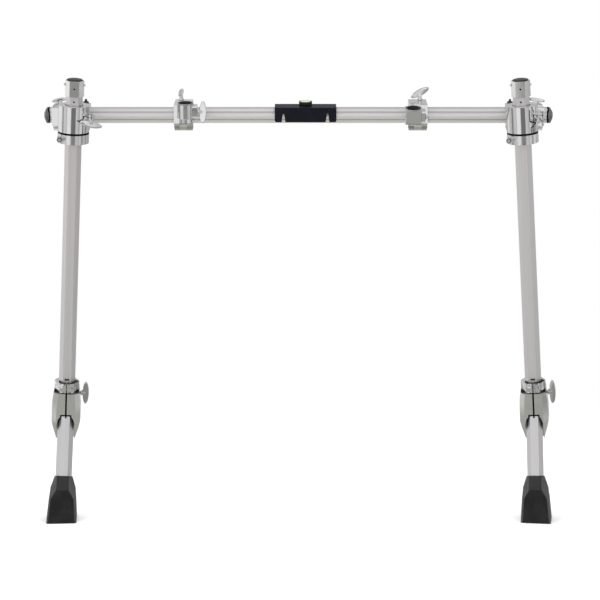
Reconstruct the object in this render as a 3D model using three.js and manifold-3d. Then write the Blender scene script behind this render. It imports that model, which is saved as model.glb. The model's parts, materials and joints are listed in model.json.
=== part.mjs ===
// A drum rack frame: two hexagonal legs and a hexagonal crossbar, joined by cast corner clamps,
// with two accessory clamps and a clip-on level. Millimetres, +Z up, the drummer's side is +Y.
import * as THREE from "three";
import { mergeVertices } from "three/addons/utils/BufferGeometryUtils.js";
import Module from "manifold-3d";

const wasm = await Module();
wasm.setup();

const degree = Math.PI / 180;

// Fits and drawing steps
const gap = 0.3; // running gap between pieces that touch
const overrun = 6; // how far a cutter passes the face that it cuts
const coarseSides = 14;
const roundSides = 26;
const arcSteps = 3;
const leafSteps = 8;
const domeSteps = 4;

// Hexagonal aluminium tube, the same stock for the bar and the legs
const tubeFlats = 33.4;
const tubeWall = 2.6;
const tubeCorner = 1.2;

// Crossbar
const barLength = 1130;
const capFlats = 36;
const capDepth = 14;
const capDome = 8;
const capDomeInset = 5;
const capSpigot = 18;

// Where things sit along the bar, from its middle
const legInsetLeft = 58; // from the bar's end to the leg's axis
const legInsetRight = 60.5;
const accessoryLeftX = -255;
const accessoryRightX = 259;
const levelX = 16;

// How the frame stands
const lean = 10; // degrees that the legs lean towards the front
const legForward = 52; // the leg's axis in front of the bar's axis
const splayLeft = 3.4; // degrees that each leg spreads to the side
const splayRight = 4.3;
const turnLeft = 4; // degrees that each leg is turned inwards about its own axis
const turnRight = 9;
const foldAngle = 22; // degrees that the lower leg kicks forward
const foldPlay = 2; // degrees that it can kick further before it meets its housing

// Grip: the clamp head around the bar, in a section square to the bar
const gripTop = 23.5;
const gripSeat = 20; // where the corner clamp's bolts sit, at its rear
const gripFront = 44;
const gripLean = 6; // how far the front's top edge lies behind its foot
const gripRear = 40;
const gripRound = 6;
const tongueUnderside = 8.3;
const jawTop = 6;
const webBottom = 16;
const lipDrop = 22;
const lipForward = 17;
const jawWall = 8;
const hingeY = -8;
const hingeZ = -26;
const hingeRadius = 8;
const pinRadius = 3;
const pinHead = 1.5;
const boltY = 31.5;
const boltRadius = 3.6;
const boltReach = 8; // below the bar's axis
const keyRadius = 7.5;
const keyHeight = 5;

// Corner clamp
const cornerWidth = 81;
const cornerGripX = 10.5; // the grip's middle, outwards from the leg's axis
const cornerLug = 28;
const barrelRadius = 35.5;
const barrelTop = 33.7;
const barrelBottom = -25.9;
const linerRadius = 28;
const barrelLip = 4;
const barrelMouth = 20.6; // radius of the barrel's mouth, above the liner
const flangeRadius = 35.2;
const flangeThickness = 4;
const cornerBoltX = 30;
const splitWidth = 1.5;
const splitAngle = -21; // degrees round the barrel, upper part of the split
const splitStep = 14; // degrees that the lower part is set back
const splitLevel = 14.5;
const earAngle = -36;
const earOut = 16.5; // from the barrel's wall to the wing bolt's axis
const earRadius = 8;
const earThickness = 11;
const earBoltProud = 3;

// Memory collar under the barrel
const collarHeight = 21;
const collarBossX = -29.5;
const collarBossY = -19;
const collarBossRadius = 6.5;
const collarBossLength = 13;
const collarBoltRadius = 4.4;
const collarBoltProud = 2;
const squareDrive = 5.2;

// Leg
const legTop = 88;
const legBottom = -643;
const sleeveFlats = 38;
const sleeveTop = 90;
const sleeveHeight = 36.5;
const screwZ = 80;
const screwRadius = 2;
const screwHeadRadius = 2.8;
const screwHeadProud = 2;
const sightHoleRadius = 2.2;
const sleeveHoleZ = 72.5;
const tubeHoleZ = 43;
const slotZ = -617;
const slotWidth = 11;
const slotHeight = 4;
const plugRadius = 18.3;
const plugRim = 0.8;
const plugDome = 3.2;
const plugSpigot = 5;

// Knuckle between the leg and its lower leg
const pivotZ = -676;
const knuckleCollarTop = -624;
const knuckleCollarBottom = -649.4;
const knuckleCollarFlats = 53;
const knuckleCollarCorner = 7;
const clampScrewX = 13;
const clampScrewZ = -638;
const clampScrewRadius = 4.5;
const clampScrewProud = 3;
const knuckleHalfWidth = 33.2;
const knuckleFront = 31;
const knuckleChamfer = 11;
const shellTop = -650;
const seam = 3.2;
const housingSlope = 13; // degrees that the housing's top edge rises towards the rear
const headRadius = 18.6;
const headWidth = 32;
const cavityRadius = 20;
const cavityHalfWidth = 19.9;
const archTop = -704;
const archHalfWidth = 21.6;
const archTopHalfWidth = 13;
const archShoulder = 30;
const shellBottom = -766;
const pivotPinRadius = 5;
const pivotPinHalf = 30;
const knuckleBoltZ = -653.6;

// Lower leg
const lowerTubeTop = 14; // below the pivot, along the lower leg
const lowerTubeEnd = 262;
const lowerTubeRound = 9;
const spigotEnd = 60;
const footTop = 176;
const soleCentre = 279;
const footSpare = 25; // rubber past the sole's centre, before the floor trims it
const footLip = 1.5; // rubber around the tube at the foot's top
const footHalfWidth = 36.5;
const footHalfDepth = 39;

// Accessory clamp
const accessoryGripWidth = 41;
const accessoryLug = 18;
const accessoryTop = 29;
const receiverForward = 46;
const receiverRadius = 18.8;
const receiverCornerLeft = 16; // of the block that the bore passes through
const receiverCornerRight = 8;
const receiverTop = 36;
const receiverBottom = 4;
const bushingRadius = 16.4;
const bushingBore = 14.3;
const bushingFlangeRadius = 17.7;
const bushingFlange = 1.4;
const bossEnd = 27;
const bossDepth = 25;
const bossTop = 33;
const bossBottom = 5;
const bossCorner = 5;
const sideBoltZ = 16;
const sideKeyRadius = 6;
const sideKeyHeight = 3;
const receiverTiltLeft = 3; // degrees that the receiver tips towards the front
const receiverTiltRight = 8;
const receiverDropLeft = 0;
const receiverDropRight = 11; // how much lower the right receiver sits on its grip
const gripLeftX = -7; // the middle of the grip, from the receiver's axis
const gripRightX = 13;
const gripBoltLeftX = -14;
const gripBoltRightX = 19;

// Wing bolts
const wingThickness = 4.6;
const wingHubRadius = 6.4;
const wingHubHeight = 7;
const jawWingSpan = 48;
const jawWingHeight = 10;
const earWingSpan = 52;
const earWingHeight = 16;
const knuckleWingSpan = 56;
const knuckleWingHeight = 15;
const accessoryWingSpan = 51;
const accessoryWingHeight = 17;

// Clip-on level
const levelLength = 140;
const levelPlate = 4.2;
const levelSkirt = 3;
const levelSkirtDrop = 12.3;
const levelRearDrop = 3;
const levelCorner = 4;
const levelSlotX = 50;
const levelSlotTop = 10;
const levelSlotTopWidth = 3;
const levelSlotWidth = 9.6;
const levelHoleZ = 14.6;
const levelHoleRadius = 2.3;
const vialRadius = 15;
const vialHeight = 9.5;
const vialWall = 2.6;
const vialFloor = 1.6;
const vialDome = 2.6;
const vialY = 5;

const tubeCorners = tubeFlats / Math.cos(30 * degree);
const boreFlats = tubeFlats + 2 * gap;

// Solids: a closed geometry becomes a solid that can be joined and cut

function solidOf(geometry) {
  const bare = geometry.index ? geometry.toNonIndexed() : geometry.clone();
  bare.deleteAttribute("normal");
  bare.deleteAttribute("uv");
  const merged = mergeVertices(bare, 1e-4);
  return new wasm.Manifold(
    new wasm.Mesh({
      numProp: 3,
      vertProperties: new Float32Array(merged.attributes.position.array),
      triVerts: new Uint32Array(merged.index.array),
    }),
  );
}

function geometryOf(solid) {
  const mesh = solid.getMesh();
  const geometry = new THREE.BufferGeometry();
  geometry.setAttribute("position", new THREE.BufferAttribute(mesh.vertProperties, 3));
  geometry.setIndex(new THREE.BufferAttribute(mesh.triVerts, 1));
  const faceted = geometry.toNonIndexed();
  faceted.computeVertexNormals();
  return faceted;
}

function join(first, ...others) {
  return others.reduce((whole, other) => whole.add(other), first);
}

function cut(first, ...others) {
  return others.reduce((whole, other) => whole.subtract(other), first);
}

// Prisms: a flat outline pushed along one axis

const alongX = new THREE.Matrix4().makeBasis(
  new THREE.Vector3(0, 1, 0),
  new THREE.Vector3(0, 0, 1),
  new THREE.Vector3(1, 0, 0),
);
const alongY = new THREE.Matrix4().makeBasis(
  new THREE.Vector3(1, 0, 0),
  new THREE.Vector3(0, 0, 1),
  new THREE.Vector3(0, -1, 0),
);

function extruded(shape, length, options = {}) {
  return new THREE.ExtrudeGeometry(shape, {
    depth: length,
    bevelEnabled: false,
    curveSegments: arcSteps,
    ...options,
  });
}

// The outline is drawn in Y and Z
function prismX(shape, from, to, options) {
  return solidOf(extruded(shape, to - from, options).applyMatrix4(alongX).translate(from, 0, 0));
}

// The outline is drawn in X and Z
function prismY(shape, from, to, options) {
  return solidOf(extruded(shape, to - from, options).applyMatrix4(alongY).translate(0, to, 0));
}

// The outline is drawn in X and Y
function prismZ(shape, from, to, options) {
  return solidOf(extruded(shape, to - from, options).translate(0, 0, from));
}

function rodZ(radius, from, to, x = 0, y = 0, sides = coarseSides) {
  const rod = new THREE.CylinderGeometry(radius, radius, to - from, sides);
  rod.rotateX(90 * degree).translate(x, y, (from + to) / 2);
  return solidOf(rod);
}

function rodX(radius, from, to, y = 0, z = 0, sides = coarseSides) {
  const rod = new THREE.CylinderGeometry(radius, radius, to - from, sides);
  rod.rotateZ(90 * degree).translate((from + to) / 2, y, z);
  return solidOf(rod);
}

function rodY(radius, from, to, x = 0, z = 0, sides = coarseSides) {
  const rod = new THREE.CylinderGeometry(radius, radius, to - from, sides);
  rod.translate(x, (from + to) / 2, z);
  return solidOf(rod);
}

function block(x0, x1, y0, y1, z0, z1) {
  const box = new THREE.BoxGeometry(x1 - x0, y1 - y0, z1 - z0);
  return solidOf(box.translate((x0 + x1) / 2, (y0 + y1) / 2, (z0 + z1) / 2));
}

function turned(points, sides = roundSides) {
  const profile = points.map(([radius, z]) => new THREE.Vector2(radius, z));
  return solidOf(new THREE.LatheGeometry(profile, sides).rotateX(90 * degree));
}

// A quarter ellipse from a rim up to the axis
function domeProfile(radius, rim, height) {
  const crown = new THREE.EllipseCurve(0, rim, radius, height, 0, Math.PI / 2);
  const points = crown.getPoints(domeSteps).map((point) => [point.x, point.y]);
  points[points.length - 1][0] = 0;
  return points;
}

function polygon(points) {
  return new THREE.Shape(points.map(([a, b]) => new THREE.Vector2(a, b)));
}

// A hexagon with two corners on its first axis, each corner eased by a small flat
function hexagon(flats, corner) {
  const reach = (flats / 2 - corner) / Math.cos(30 * degree);
  const points = [];
  for (let i = 0; i < 6; i += 1) {
    for (const spread of [-30, 30]) {
      const corners = i * 60 * degree;
      const facing = corners + spread * degree;
      points.push([
        reach * Math.cos(corners) + corner * Math.cos(facing),
        reach * Math.sin(corners) + corner * Math.sin(facing),
      ]);
    }
  }
  return polygon(points);
}

function roundedBox(x0, x1, y0, y1, corner) {
  const shape = new THREE.Shape();
  shape.absarc(x1 - corner, y0 + corner, corner, -90 * degree, 0, false);
  shape.absarc(x1 - corner, y1 - corner, corner, 0, 90 * degree, false);
  shape.absarc(x0 + corner, y1 - corner, corner, 90 * degree, 180 * degree, false);
  shape.absarc(x0 + corner, y0 + corner, corner, 180 * degree, 270 * degree, false);
  shape.closePath();
  return shape;
}

// A skin through rings that all have the same number of points, listed from the top down
function loft(rings) {
  const count = rings[0].length;
  const positions = rings.flat().flatMap((point) => [point.x, point.y, point.z]);
  const index = [];
  for (let r = 0; r + 1 < rings.length; r += 1) {
    for (let i = 0; i < count; i += 1) {
      const a = r * count + i;
      const b = r * count + ((i + 1) % count);
      index.push(a, a + count, b, b, a + count, b + count);
    }
  }
  const last = (rings.length - 1) * count;
  for (let i = 1; i + 1 < count; i += 1) {
    index.push(0, i, i + 1);
    index.push(last, last + i + 1, last + i);
  }
  const geometry = new THREE.BufferGeometry();
  geometry.setAttribute("position", new THREE.Float32BufferAttribute(positions, 3));
  geometry.setIndex(index);
  return solidOf(geometry);
}

// An eight-sided ring: flats of half-length frontHalf before and behind, sideHalf at the sides
function octagonRing(z, halfWidth, halfDepth, frontHalf, sideHalf) {
  const corners = [
    [frontHalf, -halfDepth],
    [halfWidth, -sideHalf],
    [halfWidth, sideHalf],
    [frontHalf, halfDepth],
    [-frontHalf, halfDepth],
    [-halfWidth, sideHalf],
    [-halfWidth, -sideHalf],
    [-frontHalf, -halfDepth],
  ];
  return corners.map(([x, y]) => new THREE.Vector3(x, y, z));
}

// Finishes

const chrome = { color: 0xd9dadd, roughness: 0.12, metalness: 1 };
const anodised = { color: 0xc9c7c8, roughness: 0.38, metalness: 1 };
const steel = { color: 0xa7a8aa, roughness: 0.3, metalness: 1 };
const blackNylon = { color: 0x17181a, roughness: 0.5, metalness: 0 };
const blackRubber = { color: 0x232325, roughness: 0.75, metalness: 0 };
const blackPaint = { color: 0x15171c, roughness: 0.45, metalness: 0 };
const greenVial = { color: 0xb7c96a, roughness: 0.08, metalness: 0 };

function piece(group, name, solid, finish) {
  const mesh = new THREE.Mesh(geometryOf(solid), new THREE.MeshStandardMaterial(finish));
  mesh.name = name;
  group.add(mesh);
  return mesh;
}

function holder(parent) {
  const group = new THREE.Group();
  parent.add(group);
  return group;
}

// Hexagonal tube

function hexTube(prism, from, to) {
  const inside = tubeFlats - 2 * tubeWall;
  const outer = prism(hexagon(tubeFlats, tubeCorner), from, to);
  const innerCorner = tubeCorner / 2;
  const inner = prism(hexagon(inside, innerCorner), from - overrun, to + overrun);
  return cut(outer, inner);
}

function endCap() {
  const inside = tubeFlats - 2 * tubeWall - 2 * gap;
  const straight = capDepth - capDome;
  const head = prismX(hexagon(capFlats - 2 * capDomeInset, tubeCorner), gap, gap + straight, {
    bevelEnabled: true,
    bevelThickness: capDome,
    bevelSize: capDomeInset,
    bevelSegments: arcSteps,
  });
  const shoulder = block(gap, barLength, -barLength, barLength, -barLength, barLength);
  const spigot = prismX(hexagon(inside, tubeCorner / 2), -capSpigot, gap + straight / 2);
  return join(head.intersect(shoulder), spigot);
}

// Wing bolt: the bolt runs down from the origin and the wing stands above it

function wingBolt(span, height, radius, length) {
  const wing = new THREE.Shape();
  const root = wingHubHeight / 2;
  wing.ellipse(0, root + height / 2, span / 2, height / 2, 0, 2 * Math.PI, false, 0);
  const leaf = prismY(wing, -wingThickness / 2, wingThickness / 2, { curveSegments: leafSteps });
  const hub = rodZ(wingHubRadius, 0, wingHubHeight + root);
  const shank = rodZ(radius, -length, root);
  return join(leaf, hub, shank);
}

function keyBolt(headRadius, headHeight, radius, length) {
  const half = squareDrive / 2;
  const head = rodZ(headRadius, 0, headHeight);
  const drive = block(-half, half, -half, half, 0, headHeight + squareDrive);
  return join(head, drive, rodZ(radius, -length, headHeight));
}

// Grip: the casting over the bar, and the hinged jaw under it

function barChannel(from, to) {
  return prismX(hexagon(boreFlats, tubeCorner), from, to);
}

function gripCasting({ centre, width, lugWidth, top, seat, front, boltXs }) {
  const from = centre - width / 2;
  const to = centre + width / 2;
  const flat = tubeFlats / 2;
  const seatFront = boltY - keyRadius - 2 * gap;
  const outline = polygon([
    [-front, -webBottom],
    [-lipForward - gripRound, -webBottom],
    [-lipForward, -lipDrop],
    [hingeY - 2 * gap, -flat - 2 * gap],
    [-flat / 3, -flat / 2],
    [0, tongueUnderside],
    [gripRear, tongueUnderside],
    [gripRear, seat],
    [seatFront, seat],
    [seatFront - gripRound, top],
    [gripLean - front, top],
  ]);
  const lugShape = polygon([
    [hingeY - hingeRadius, hingeZ],
    [-lipForward - gripRound / 2, -lipDrop + gripRound / 2],
    [hingeY - gap, -flat],
    [hingeY + gap, hingeZ],
  ]);
  const lugFrom = centre - lugWidth / 2;
  const lugTo = centre + lugWidth / 2;
  const lug = join(
    prismX(lugShape, lugFrom, lugTo),
    rodX(hingeRadius, lugFrom, lugTo, hingeY, hingeZ),
  );
  const clear = hingeRadius + 2 * gap;
  const body = cut(
    prismX(outline, from, to),
    rodX(clear, from - overrun, lugFrom, hingeY, hingeZ),
    rodX(clear, lugTo, to + overrun, hingeY, hingeZ),
  );
  const holes = boltXs.map((x) => rodZ(boltRadius + gap, 0, top + overrun, x, boltY));
  return cut(
    join(body, lug),
    barChannel(from - overrun, to + overrun),
    rodX(pinRadius + gap, from, to, hingeY, hingeZ),
    ...holes,
  );
}

function gripJaw({ centre, width, lugWidth, boltXs }) {
  const from = centre - width / 2;
  const to = centre + width / 2;
  const flat = tubeFlats / 2;
  const bottom = hingeZ - hingeRadius;
  const outline = polygon([
    [hingeY, bottom],
    [flat / 2, bottom + gap],
    [flat + gripRound / 2, -flat - jawWall],
    [gripRear - gripRound, -jawWall],
    [gripRear, -jawTop],
    [gripRear, jawTop],
    [flat / 2, jawTop],
    [-flat / 4, -flat + gap],
    [hingeY, -flat - 2 * gap],
  ]);
  const knuckles = join(
    prismX(outline, from, to),
    rodX(hingeRadius, from, to, hingeY, hingeZ),
  );
  const clear = hingeRadius + 2 * gap;
  const lugFrom = centre - lugWidth / 2 - gap;
  const lugTo = centre + lugWidth / 2 + gap;
  const notches = boltXs.map((x) => {
    const half = boltRadius + 2 * gap;
    const start = boltY - half - jawTop;
    return block(x - half, x + half, start, gripRear + overrun, -flat - jawWall, jawTop + overrun);
  });
  return cut(
    knuckles,
    barChannel(from - overrun, to + overrun),
    rodX(clear, lugFrom, lugTo, hingeY, hingeZ),
    rodX(pinRadius + gap, from - overrun, to + overrun, hingeY, hingeZ),
    ...notches,
  );
}

function hingePin({ centre, width }) {
  const half = width / 2 + pinHead;
  return rodX(pinRadius, centre - half, centre + half, hingeY, hingeZ);
}

// Corner clamp, drawn with the leg's axis on Z

const earReach = barrelRadius + earOut;
const ear = new THREE.Vector2(earReach, 0).rotateAround(new THREE.Vector2(), earAngle * degree);
const earTop = splitLevel + earThickness / 2;
const earBottom = splitLevel - earThickness / 2;

// A thin wall that stands on the axis and runs outwards at an angle
function splitWall(angle, from, to) {
  const wall = earReach + 2 * earRadius;
  const plate = new THREE.BoxGeometry(wall, splitWidth, to - from);
  return solidOf(plate.translate(wall / 2, 0, (from + to) / 2).rotateZ(angle * degree));
}

function barrelOutside() {
  const arm = new THREE.BoxGeometry(earReach, 2 * earRadius, earThickness);
  arm.translate(earReach / 2, 0, splitLevel).rotateZ(earAngle * degree);
  return join(
    rodZ(barrelRadius, barrelBottom, barrelTop, 0, 0, roundSides),
    solidOf(arm),
    rodZ(earRadius, earBottom, earTop, ear.x, ear.y),
  );
}

function barrelCuts() {
  const low = splitAngle - 2 * splitStep;
  const wall = 2 * (earReach + earRadius);
  const fan = [low, splitAngle - splitStep, splitAngle].map((angle) => [
    wall * Math.cos(angle * degree),
    wall * Math.sin(angle * degree),
  ]);
  const level = polygon([[0, 0], ...fan]);
  return join(
    rodZ(linerRadius + gap, barrelBottom - overrun, barrelTop - barrelLip, 0, 0, roundSides),
    rodZ(barrelMouth, barrelBottom, barrelTop + overrun, 0, 0, roundSides),
    splitWall(splitAngle, splitLevel, barrelTop + overrun),
    splitWall(low, barrelBottom - overrun, splitLevel),
    prismZ(level, splitLevel - splitWidth / 2, splitLevel + splitWidth / 2),
    rodZ(boltRadius + gap, earBottom - overrun, earTop + overrun, ear.x, ear.y),
  );
}

// The barrel tilts with its leg, while the grip stays square to the bar
function cornerCasting(grip, splay) {
  const toBar = new THREE.Matrix4().makeRotationY(splay * degree);
  toBar.setPosition(0, -legForward, 0);
  const placed = (solid) => solidOf(geometryOf(solid).applyMatrix4(toBar));
  const body = join(gripCasting(grip), placed(barrelOutside()));
  return cut(body, placed(barrelCuts()), barChannel(-cornerWidth, cornerWidth));
}

function barrelLiner() {
  const flangeTop = barrelBottom - gap;
  const top = barrelTop - barrelLip - gap;
  const body = join(
    rodZ(linerRadius, flangeTop - flangeThickness / 2, top, 0, 0, roundSides),
    rodZ(flangeRadius, flangeTop - flangeThickness, flangeTop, 0, 0, roundSides),
  );
  return cut(body, legBore(barrelBottom - 2 * overrun, barrelTop + overrun));
}

function legBore(from, to) {
  return prismZ(hexagon(boreFlats, tubeCorner), from, to);
}

const collarTop = barrelBottom - 2 * gap - flangeThickness;
const collarMiddle = collarTop - collarHeight / 2;

function memoryCollar() {
  const bossFront = collarBossY - collarBossLength;
  const bossBack = collarBossY + collarBossLength;
  const body = join(
    rodZ(barrelRadius, collarTop - collarHeight, collarTop, 0, 0, roundSides),
    rodY(collarBossRadius, bossFront, bossBack, collarBossX, collarMiddle),
  );
  const outside = collarBossX - 2 * collarBossRadius;
  const slit = block(
    outside,
    collarBossX + 2 * collarBossRadius,
    collarBossY - splitWidth / 2,
    collarBossY + splitWidth / 2,
    collarTop - collarHeight - overrun,
    collarTop + overrun,
  );
  return cut(
    body,
    legBore(collarTop - collarHeight - overrun, collarTop + overrun),
    slit,
    rodY(boltRadius + gap, bossFront - overrun, bossBack + overrun, collarBossX, collarMiddle),
  );
}

// Leg

function legTube() {
  const front = -tubeFlats / 2;
  const hole = rodY(sightHoleRadius, front - overrun, front + overrun, 0, tubeHoleZ);
  const slot = block(
    -slotWidth / 2,
    slotWidth / 2,
    front - overrun,
    front + overrun,
    slotZ - slotHeight / 2,
    slotZ + slotHeight / 2,
  );
  const cross = rodX(screwRadius + gap, -tubeFlats, tubeFlats, 0, screwZ);
  const upper = rodY(sightHoleRadius, front - overrun, front + overrun, 0, sleeveHoleZ);
  return cut(hexTube(prismZ, legBottom, legTop), hole, upper, slot, cross);
}

function topSleeve() {
  const bottom = sleeveTop - sleeveHeight;
  const front = -sleeveFlats / 2;
  return cut(
    prismZ(hexagon(sleeveFlats, tubeCorner), bottom, sleeveTop),
    legBore(bottom - overrun, sleeveTop + overrun),
    rodY(sightHoleRadius, front - overrun, front + overrun, 0, sleeveHoleZ),
    rodX(screwRadius + gap, -sleeveFlats, sleeveFlats, 0, screwZ),
  );
}

function sleeveScrew() {
  const side = sleeveFlats / 2 / Math.cos(30 * degree) + gap;
  return join(
    rodX(screwRadius, -side, side, 0, screwZ),
    rodX(screwHeadRadius, side - gap, side + screwHeadProud, 0, screwZ),
    rodX(screwHeadRadius, -side - screwHeadProud, gap - side, 0, screwZ),
  );
}

function topPlug() {
  const inside = tubeFlats / 2 - tubeWall - gap;
  const seat = sleeveTop + gap;
  const spigotEnd = legTop - plugSpigot;
  return turned([
    [0, spigotEnd],
    [inside, spigotEnd],
    [inside, seat],
    [plugRadius, seat],
    ...domeProfile(plugRadius, seat + plugRim, plugDome),
  ]);
}

// Knuckle

function knuckleCollar() {
  const front = -knuckleCollarFlats / 2;
  const half = seam / 4 + gap;
  const below = knuckleCollarBottom - overrun;
  const above = knuckleCollarTop + overrun;
  const outline = hexagon(knuckleCollarFlats, knuckleCollarCorner);
  const screwFront = front - clampScrewProud;
  const screwEnd = front + clampScrewProud;
  const body = join(
    prismZ(outline, knuckleCollarBottom, knuckleCollarTop),
    rodY(clampScrewRadius, screwFront, screwEnd, clampScrewX, clampScrewZ),
  );
  const slit = block(-half, half, front - overrun, 0, below, above);
  return cut(body.intersect(aboveHousing(2 * gap)), legBore(below, above), slit);
}

function knuckleOutside() {
  // How far down each station is, and the shares of the full half width and half depth there
  const stationShares = [
    [-0.14, 0.83, 1],
    [0, 0.9, 1],
    [0.14, 0.97, 1],
    [0.34, 1, 1],
    [0.6, 1, 1],
    [0.73, 0.9, 0.97],
    [0.87, 0.76, 0.91],
    [1, 0.64, 0.84],
  ];
  const rings = stationShares.map(([downShare, widthShare, depthShare]) => {
    const z = shellTop + (shellBottom - shellTop) * downShare;
    const halfWidth = knuckleHalfWidth * widthShare;
    const halfDepth = knuckleFront * depthShare;
    return octagonRing(
      z,
      halfWidth,
      halfDepth,
      halfWidth - knuckleChamfer,
      halfDepth - knuckleChamfer,
    );
  });
  return loft(rings);
}

// Room for the head and for the lower tube, whose six sides swing from straight to kicked forward
function knuckleCavity() {
  const back = tubeFlats / 2 + 2 * gap;
  const frontHalf = back * Math.tan(30 * degree);
  const below = shellBottom - overrun;
  const outside = knuckleFront + overrun;
  const kicked = (foldAngle + foldPlay) * degree;
  const swingRing = (down) => {
    const forward = -down * Math.tan(kicked);
    const front = forward - back / Math.cos(kicked);
    const half = [
      [frontHalf, front],
      [cavityHalfWidth, forward],
      [cavityHalfWidth, 0],
      [frontHalf, back],
    ];
    const mirrored = half.map(([x, y]) => [-x, y]).reverse();
    return [...half, ...mirrored].map(([x, y]) => new THREE.Vector3(x, y, pivotZ - down));
  };
  const room = join(
    rodX(cavityRadius, -cavityHalfWidth, cavityHalfWidth, 0, pivotZ, roundSides),
    loft([swingRing(2 * gap), swingRing(pivotZ - below)]),
  );
  const arch = new THREE.Shape();
  arch.moveTo(-archHalfWidth, below);
  arch.lineTo(archHalfWidth, below);
  arch.lineTo(archHalfWidth, archTop - archShoulder);
  const bend = archTop - archShoulder / 3;
  arch.quadraticCurveTo(archHalfWidth, bend, archTopHalfWidth, archTop);
  arch.lineTo(-archTopHalfWidth, archTop);
  arch.quadraticCurveTo(-archHalfWidth, bend, -archHalfWidth, archTop - archShoulder);
  return join(room, prismY(arch, -outside, -back / 2));
}

function aboveHousing(clearance) {
  const far = 2 * knuckleHalfWidth;
  const space = new THREE.BoxGeometry(far, 2 * far, far);
  space.translate(0, far, far / 2).rotateX(housingSlope * degree);
  space.translate(0, -knuckleFront, shellTop + clearance);
  return solidOf(space);
}
function knuckleShell(side) {
  const far = knuckleHalfWidth + overrun;
  const deep = knuckleFront + overrun;
  const half = block(
    side > 0 ? seam / 2 : -far,
    side > 0 ? far : -seam / 2,
    -deep,
    deep,
    shellBottom - overrun,
    knuckleCollarTop,
  );
  return cut(
    knuckleOutside().intersect(half),
    aboveHousing(0),
    knuckleCavity(),
    legBore(pivotZ, knuckleCollarTop),
    rodX(pivotPinRadius + gap, -far, far, 0, pivotZ),
    rodX(boltRadius + gap, -far, far, 0, knuckleBoltZ),
  );
}

// Lower leg, drawn from the pivot down

function lowerTube() {
  const half = tubeCorners / 2 + overrun;
  const top = new THREE.Shape();
  const edge = tubeCorners / 2;
  top.moveTo(-half, -lowerTubeEnd - overrun);
  top.lineTo(half, -lowerTubeEnd - overrun);
  top.lineTo(half, -lowerTubeTop - lowerTubeRound);
  top.lineTo(edge, -lowerTubeTop - lowerTubeRound);
  top.quadraticCurveTo(edge, -lowerTubeTop, edge - lowerTubeRound, -lowerTubeTop);
  top.lineTo(lowerTubeRound - edge, -lowerTubeTop);
  top.quadraticCurveTo(-edge, -lowerTubeTop, -edge, -lowerTubeTop - lowerTubeRound);
  top.lineTo(-half, -lowerTubeTop - lowerTubeRound);
  const room = headWidth / 2 + gap;
  return cut(
    hexTube(prismZ, -lowerTubeEnd, 0).intersect(prismY(top, -half, half)),
    rodX(headRadius + gap, -room, room, 0, 0, roundSides),
    block(-seam / 2, seam / 2, -half, 0, -lowerTubeTop - lowerTubeRound, 0),
  );
}

function lowerHead() {
  const inside = tubeFlats - 2 * tubeWall - 2 * gap;
  const half = headWidth / 2;
  return cut(
    join(
      rodX(headRadius, -half, half, 0, 0, roundSides),
      prismZ(hexagon(inside, tubeCorner / 2), -spigotEnd, 0),
    ),
    rodX(pivotPinRadius + gap, -half - overrun, half + overrun),
  );
}

// Foot

// How far down the foot a ring is, its shares of the full half width and half depth,
// and the shares of that ring's own half width and half depth that its flat faces take up
const footShares = [
  [0.21, 0.8, 0.79, 0.51, 0.52],
  [0.26, 0.81, 0.87, 0.52, 0.59],
  [0.42, 0.863, 0.923, 0.87, 0.86],
  [1, 1, 1, 0.9, 0.9],
];
const lipShares = [0.73, 0.41];

function footBlock() {
  const length = soleCentre - footTop + footSpare;
  const lipWidth = tubeCorners / 2 + footLip;
  const lipDepth = tubeFlats / 2 + 2 * footLip;
  const [lipFront, lipSide] = lipShares;
  const lip = octagonRing(-footTop, lipWidth, lipDepth, lipFront * lipWidth, lipSide * lipDepth);
  const rings = footShares.map(([down, widthShare, depthShare, frontShare, sideShare]) => {
    const width = footHalfWidth * widthShare;
    const depth = footHalfDepth * depthShare;
    return octagonRing(-footTop - length * down, width, depth, width * frontShare, depth * sideShare);
  });
  return cut(loft([lip, ...rings]), legBore(-lowerTubeEnd - gap, -footTop + overrun));
}

// Accessory clamp

function receiver(drop, tiltDegrees) {
  const toBar = new THREE.Matrix4().makeTranslation(0, -receiverForward, -drop);
  toBar.multiply(new THREE.Matrix4().makeTranslation(0, 0, receiverBottom));
  toBar.multiply(new THREE.Matrix4().makeRotationX(tiltDegrees * degree));
  toBar.multiply(new THREE.Matrix4().makeTranslation(0, 0, -receiverBottom));
  return toBar;
}

function accessoryCasting(grip, toBar, corner) {
  const placed = (solid) => solidOf(geometryOf(solid).applyMatrix4(toBar));
  const square = roundedBox(-receiverRadius, receiverRadius, -receiverRadius, receiverRadius, corner);
  const barrel = prismZ(square, receiverBottom, receiverTop);
  const bossShape = roundedBox(-bossDepth / 2, bossDepth / 2, bossBottom, bossTop, bossCorner);
  const boss = prismX(bossShape, 0, bossEnd);
  const bore = join(
    rodZ(bushingRadius + gap, -2 * accessoryTop, receiverTop + overrun, 0, 0, roundSides),
    rodZ(bushingFlangeRadius + gap, -2 * accessoryTop, receiverBottom, 0, 0, roundSides),
    rodZ(bushingFlangeRadius + gap, receiverTop, 2 * accessoryTop, 0, 0, roundSides),
  );
  const thread = rodX(boltRadius + gap, bushingRadius, bossEnd + overrun, 0, sideBoltZ);
  const channel = barChannel(-2 * accessoryGripWidth, 2 * accessoryGripWidth);
  const body = join(gripCasting(grip), placed(barrel), placed(boss));
  return cut(body, placed(bore), placed(thread), channel);
}

function bushing() {
  const top = receiverTop + gap;
  const bottom = receiverBottom - gap;
  return turned([
    [bushingBore, bottom - bushingFlange],
    [bushingFlangeRadius, bottom - bushingFlange],
    [bushingFlangeRadius, bottom],
    [bushingRadius, bottom],
    [bushingRadius, top],
    [bushingFlangeRadius, top],
    [bushingFlangeRadius, top + bushingFlange],
    [bushingBore, top + bushingFlange],
    [bushingBore, bottom - bushingFlange],
  ]);
}

// Clip-on level

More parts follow.
